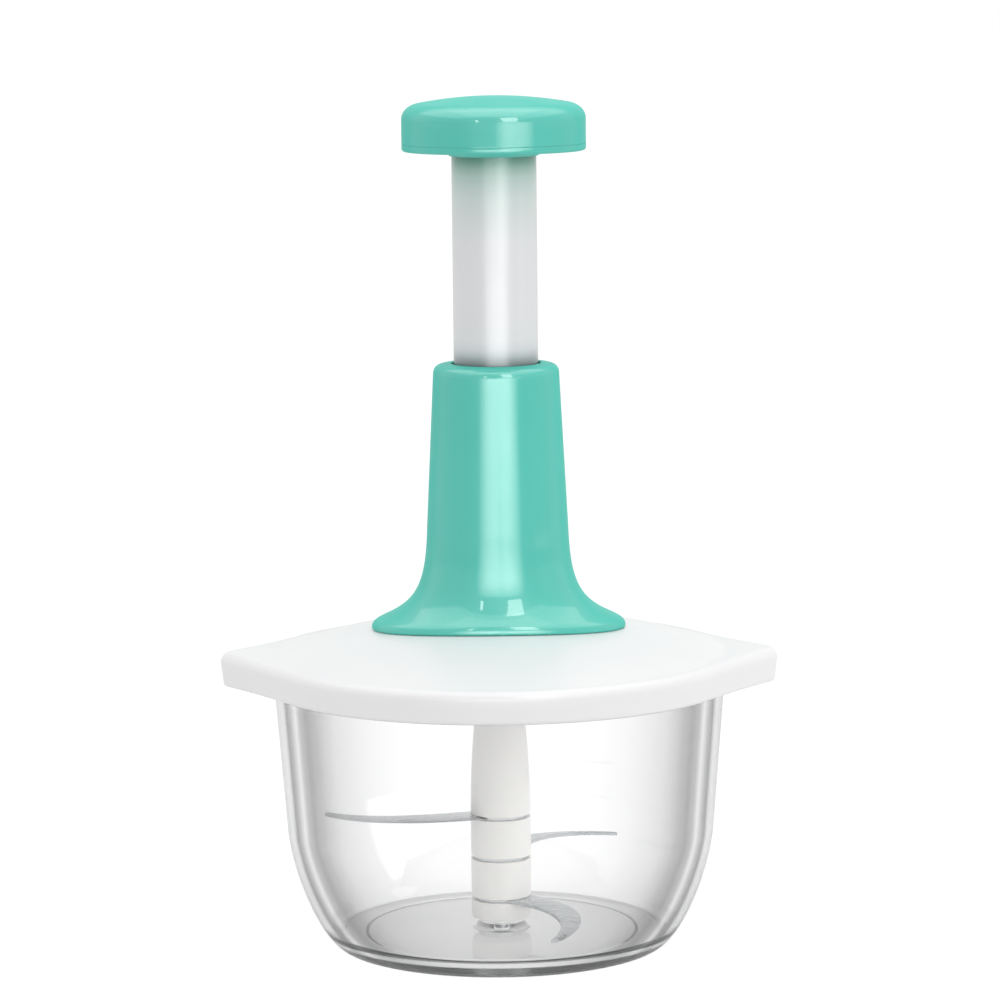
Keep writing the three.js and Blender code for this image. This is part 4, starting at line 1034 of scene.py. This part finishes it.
def build_tube():
    inner = TUBE_RADIUS - TUBE_WALL
    tube = [(inner, TUBE_BOTTOM, SMALL), (STOP_RADIUS, TUBE_BOTTOM, SOFT), (STOP_RADIUS, STOP_TOP, SMALL)]
    tube += [(TUBE_RADIUS, STOP_TOP, FINE), (TUBE_RADIUS, TUBE_TOP), (inner, TUBE_TOP)]
    dress(lathe("tube_moulded", rounded(tube), AROUND), TUBE_GREY, "plunger", "tube_plastic", "plunger_tube")


# Drive housing under the lid, seen through the bowl from below

HOUSING_RADIUS = 16.5
HOUSING_FILLET = 2.5
HOUSING_ROUND = 1.8
HOUSING_BORE = 14
HOUSING_HOLE = 10.3
HOUSING_FLOOR = 3


def build_housing():
    floor = HOUSING_BOTTOM + HOUSING_FLOOR
    flange = HOUSING_TOP - HOUSING_FILLET
    outline = [(HOUSING_HOLE, HOUSING_BOTTOM, FINE), (HOUSING_RADIUS, HOUSING_BOTTOM, HOUSING_ROUND)]
    outline += [(HOUSING_RADIUS, flange, HOUSING_FILLET), (HOUSING_FLANGE_RADIUS, flange, SOFT)]
    outline += [(HOUSING_FLANGE_RADIUS, HOUSING_TOP, SMALL), (HOUSING_BORE, HOUSING_TOP)]
    outline += [(HOUSING_BORE, floor), (HOUSING_HOLE, floor)]
    housing = lathe("housing_moulded", rounded(outline, steps=8), AROUND)
    dress(housing, WHITE, "lid_body", "white_plastic", "drive_housing")


# Return spring: the same helix as the CAD wire, with a round section

SPRING_MEAN_RADIUS = 11
SPRING_WIRE = 1.5
SPRING_TURNS = 16
SPRING_CLOSED_RISE = SPRING_WIRE + 0.6  # of the first and the last turn
SPRING_STEPS = 24  # to a turn
SPRING_SIDES = 10
SPRING_CREASE = math.radians(60)


def spring_height(turn, low, pitch):
    """The wire's height after some turns: one closed, then the open ones, and a closed one."""
    first = min(turn, 1)
    middle = min(max(turn - 1, 0), SPRING_TURNS - 2)
    last = max(turn - SPRING_TURNS + 1, 0)
    return low + first * SPRING_CLOSED_RISE + middle * pitch + last * SPRING_CLOSED_RISE


def ring_middle(ring):
    return tuple(sum(p[i] for p in ring) / len(ring) for i in range(3))


def build_spring():
    half = SPRING_WIRE / 2
    low, high = SPRING_BOTTOM + half, SPRING_TOP - half
    pitch = (high - low - 2 * SPRING_CLOSED_RISE) / (SPRING_TURNS - 2)
    rings = []
    for k in range(SPRING_TURNS * SPRING_STEPS + 1):
        turn = k / SPRING_STEPS
        z = spring_height(turn, low, pitch)
        a = 2 * math.pi * turn
        ring = []
        for b in even_angles(SPRING_SIDES):
            r = SPRING_MEAN_RADIUS + half * math.cos(b)
            ring.append((r * math.cos(a), r * math.sin(a), z + half * math.sin(b)))
        rings.append(ring)
    rings = [[ring_middle(rings[0])]] + rings + [[ring_middle(rings[-1])]]
    spring = rings_piece("spring_wire", rings, False, SPRING_CREASE)
    dress(spring, SPRING_STEEL, "lid_body", "spring_steel", "return_spring")
    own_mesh(spring)


# CAD nodes that stay as they are, with a finish of their own

KEPT = {
    "drive_spindle": NATURAL,
    "drive_nut": NATURAL,
    "spindle_bush": NATURAL,
    "clutch_cap": WHITE,
    "guide_tube": WHITE,
    "collar_ring": WHITE,
    "thrust_washer": POLISHED,
    "spindle_circlip": SPRING_STEEL,
    "twisted_rod": POLISHED,
    "rod_washer": POLISHED,
    "rod_nut": POLISHED,
    "stop_damper": SEAL,
}
KEPT.update({f"tower_screw_{number}": POLISHED for number in range(1, 5)})


def dress_kept_nodes():
    for node, material in KEPT.items():
        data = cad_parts[node].data
        data.materials.clear()
        data.materials.append(material)


# Camera, in metres like all that follows

CAMERA_PLACE = Vector((0, -1.5, 0.35945))
CAMERA_AIM = Vector((0, 0, 0.15845))
CAMERA_LEAN = math.radians(0.6)  # because the plunger leans a little in the photograph
CAMERA_LENS = 154.05
CAMERA_SHIFT = 0.0026


def turned_to(place, aim):
    """The turn that points a camera or a lamp from its place at its aim."""
    return (Vector(aim) - Vector(place)).to_track_quat("-Z", "Y")


def build_camera():
    data = bpy.data.cameras.new("camera")
    camera = linked_object("camera", data)
    look = turned_to(CAMERA_PLACE, CAMERA_AIM).to_matrix().to_4x4()
    camera.matrix_world = Matrix.Translation(CAMERA_PLACE) @ look @ Matrix.Rotation(-CAMERA_LEAN, 4, "Z")
    data.lens = CAMERA_LENS
    data.sensor_width = 36
    data.shift_x = CAMERA_SHIFT
    data.clip_start = 0.05
    data.clip_end = 50
    bpy.context.scene.camera = camera


# Lamps

LAMP_DISTANCE = 0.5  # of the lamps that show in the plastic, from the axis
MIDDLE = (0, 0, 0.15)  # the middle of the object
SKY_SIZE = (2.6, 1.9)
SKY_RADIANCE = 1.15
BAND_WIDTH = 2.2  # of a soft band's lamp, over its distance times the tangent of half its spread


def area_light(name, place, aim, size, power):
    data = bpy.data.lights.new(name, "AREA")
    data.shape = "RECTANGLE"
    data.size, data.size_y = size
    data.energy = power
    light = linked_object(name, data)
    light.location = place
    light.rotation_euler = turned_to(place, aim).to_euler()
    light.visible_camera = False
    return light


def power_for(radiance, size):
    """The power of a lamp of that size whose face looks that bright."""
    return radiance * math.pi * size[0] * size[1]


def around(azimuth, height):
    """A place in front of the object, at an azimuth in degrees and a height."""
    turn = math.radians(azimuth)
    return (LAMP_DISTANCE * math.sin(turn), -LAMP_DISTANCE * math.cos(turn), height)


def reflected_only(light):
    light.visible_diffuse = False
    light.visible_transmission = False
    light.visible_volume_scatter = False


def soft_band(name, azimuths, width, heights, radiance):
    """Upright lamps side by side that fade to their edges, which give a highlight with soft sides.
    Each fades to nothing at width degrees from its own azimuth."""
    half = math.radians(width)
    middle = sum(heights) / 2
    size = (BAND_WIDTH * LAMP_DISTANCE * math.tan(half), heights[1] - heights[0])
    peak = math.tan(half) / (math.tan(half) - half)
    power = power_for(radiance, size) / peak
    for i, azimuth in enumerate(azimuths):
        light = area_light(f"{name}_{i + 1}", around(azimuth, middle), (0, 0, middle), size, power)
        light.data.spread = 2 * half
        reflected_only(light)


def glint(name, azimuth, height, size, radiance):
    """A small lamp that shows as a spot in the glossy flare."""
    place = around(azimuth, height)
    reflected_only(area_light(name, place, (0, 0, 0.2), size, power_for(radiance, size)))


def build_lights():
    soft_band("sleeve_band", azimuths=(-14, 4, 22), width=18, heights=(0.05, 0.25), radiance=6.2)
    soft_band("knob_band", azimuths=(14, 27, 40), width=13, heights=(0.24, 0.29), radiance=4)
    glint("window", azimuth=20, height=0.45, size=(0.17, 0.32), radiance=6)
    glint("slit", azimuth=-20, height=0.38, size=(0.03, 0.16), radiance=8)
    reflected_only(area_light("sky", (0, -0.05, 1.2), MIDDLE, SKY_SIZE, power_for(SKY_RADIANCE, SKY_SIZE)))
    left = area_light("left_fill", (-1.5, -0.5, 0.9), MIDDLE, size=(1.0, 1.4), power=0.6)
    right = area_light("right_fill", (1.6, -0.5, 0.5), MIDDLE, size=(0.8, 1.2), power=5.2)
    left.visible_glossy = False
    right.visible_glossy = False
    area_light("overhead", (0, -0.2, 1.6), (0, 0, 0), size=(1.4, 1.4), power=5)


# Stage

FLOOR_REACH = 12
FLOOR_DROP = 0.0002
FLOOR_PAPER = (0.85, 0.85, 0.85, 1)
FLOOR_GLOW = 1.12
FLOOR_GLOW_SHARE = 0.82  # of what the camera sees of the floor
AMBIENT_STRENGTH = 0.84
PURE_WHITE = (1, 1, 1, 1)


def either(nodes, links, *rays):
    """One where the ray is any of the named kinds."""
    path = nodes.new("ShaderNodeLightPath")
    found = path.outputs[rays[0]]
    for ray in rays[1:]:
        larger = nodes.new("ShaderNodeMath")
        larger.operation = "MAXIMUM"
        links.new(found, larger.inputs[0])
        links.new(path.outputs[ray], larger.inputs[1])
        found = larger.outputs["Value"]
    return found


def floor_material():
    """Pale paper that takes a faint shadow, and glows so that it looks nearly white."""
    material, nodes, links, base = shader("floor_paper")
    base.inputs["Base Color"].default_value = FLOOR_PAPER
    base.inputs["Roughness"].default_value = 0.9
    base.inputs["Specular IOR Level"].default_value = 0
    glow = nodes.new("ShaderNodeEmission")
    glow.inputs["Strength"].default_value = FLOOR_GLOW
    share = nodes.new("ShaderNodeMath")
    share.operation = "MULTIPLY"
    share.inputs[1].default_value = FLOOR_GLOW_SHARE
    links.new(either(nodes, links, "Is Camera Ray", "Is Transmission Ray"), share.inputs[0])
    factor, paper, light = share.outputs["Value"], base.outputs["BSDF"], glow.outputs["Emission"]
    mixed_surface(nodes, links, factor, paper, light, nodes["Material Output"].inputs["Surface"])
    return material


def build_floor():
    mesh = bpy.data.meshes.new("floor")
    corners = [(x * FLOOR_REACH, y * FLOOR_REACH, 0) for x, y in ((-1, -1), (1, -1), (1, 1), (-1, 1))]
    mesh.from_pydata(corners, [], [(0, 1, 2, 3)])
    mesh.materials.append(floor_material())
    floor = linked_object("floor", mesh)
    floor.location.z = -FLOOR_DROP


def background(nodes, strength):
    node = nodes.new("ShaderNodeBackground")
    node.inputs["Color"].default_value = PURE_WHITE
    node.inputs["Strength"].default_value = strength
    return node.outputs["Background"]


def build_world():
    """White where it is looked at or mirrored, and a little less bright as light."""
    world = bpy.data.worlds.new("studio")
    bpy.context.scene.world = world
    world.use_nodes = True
    nodes, links = world.node_tree.nodes, world.node_tree.links
    nodes.remove(nodes["Background"])
    seen = either(nodes, links, "Is Camera Ray", "Is Glossy Ray", "Is Transmission Ray")
    ambient = background(nodes, AMBIENT_STRENGTH)
    backdrop = background(nodes, 1)
    mixed_surface(nodes, links, seen, ambient, backdrop, nodes["World Output"].inputs["Surface"])


bpy.context.scene.view_settings.view_transform = "Standard"
build_camera()
build_lights()
build_floor()
build_world()
build_bowl()
build_blades()
build_stack()
build_lid()
build_seal()
build_tower()
build_knob_cap()
build_knob_base()
build_tube()
build_housing()
build_spring()
dress_kept_nodes()
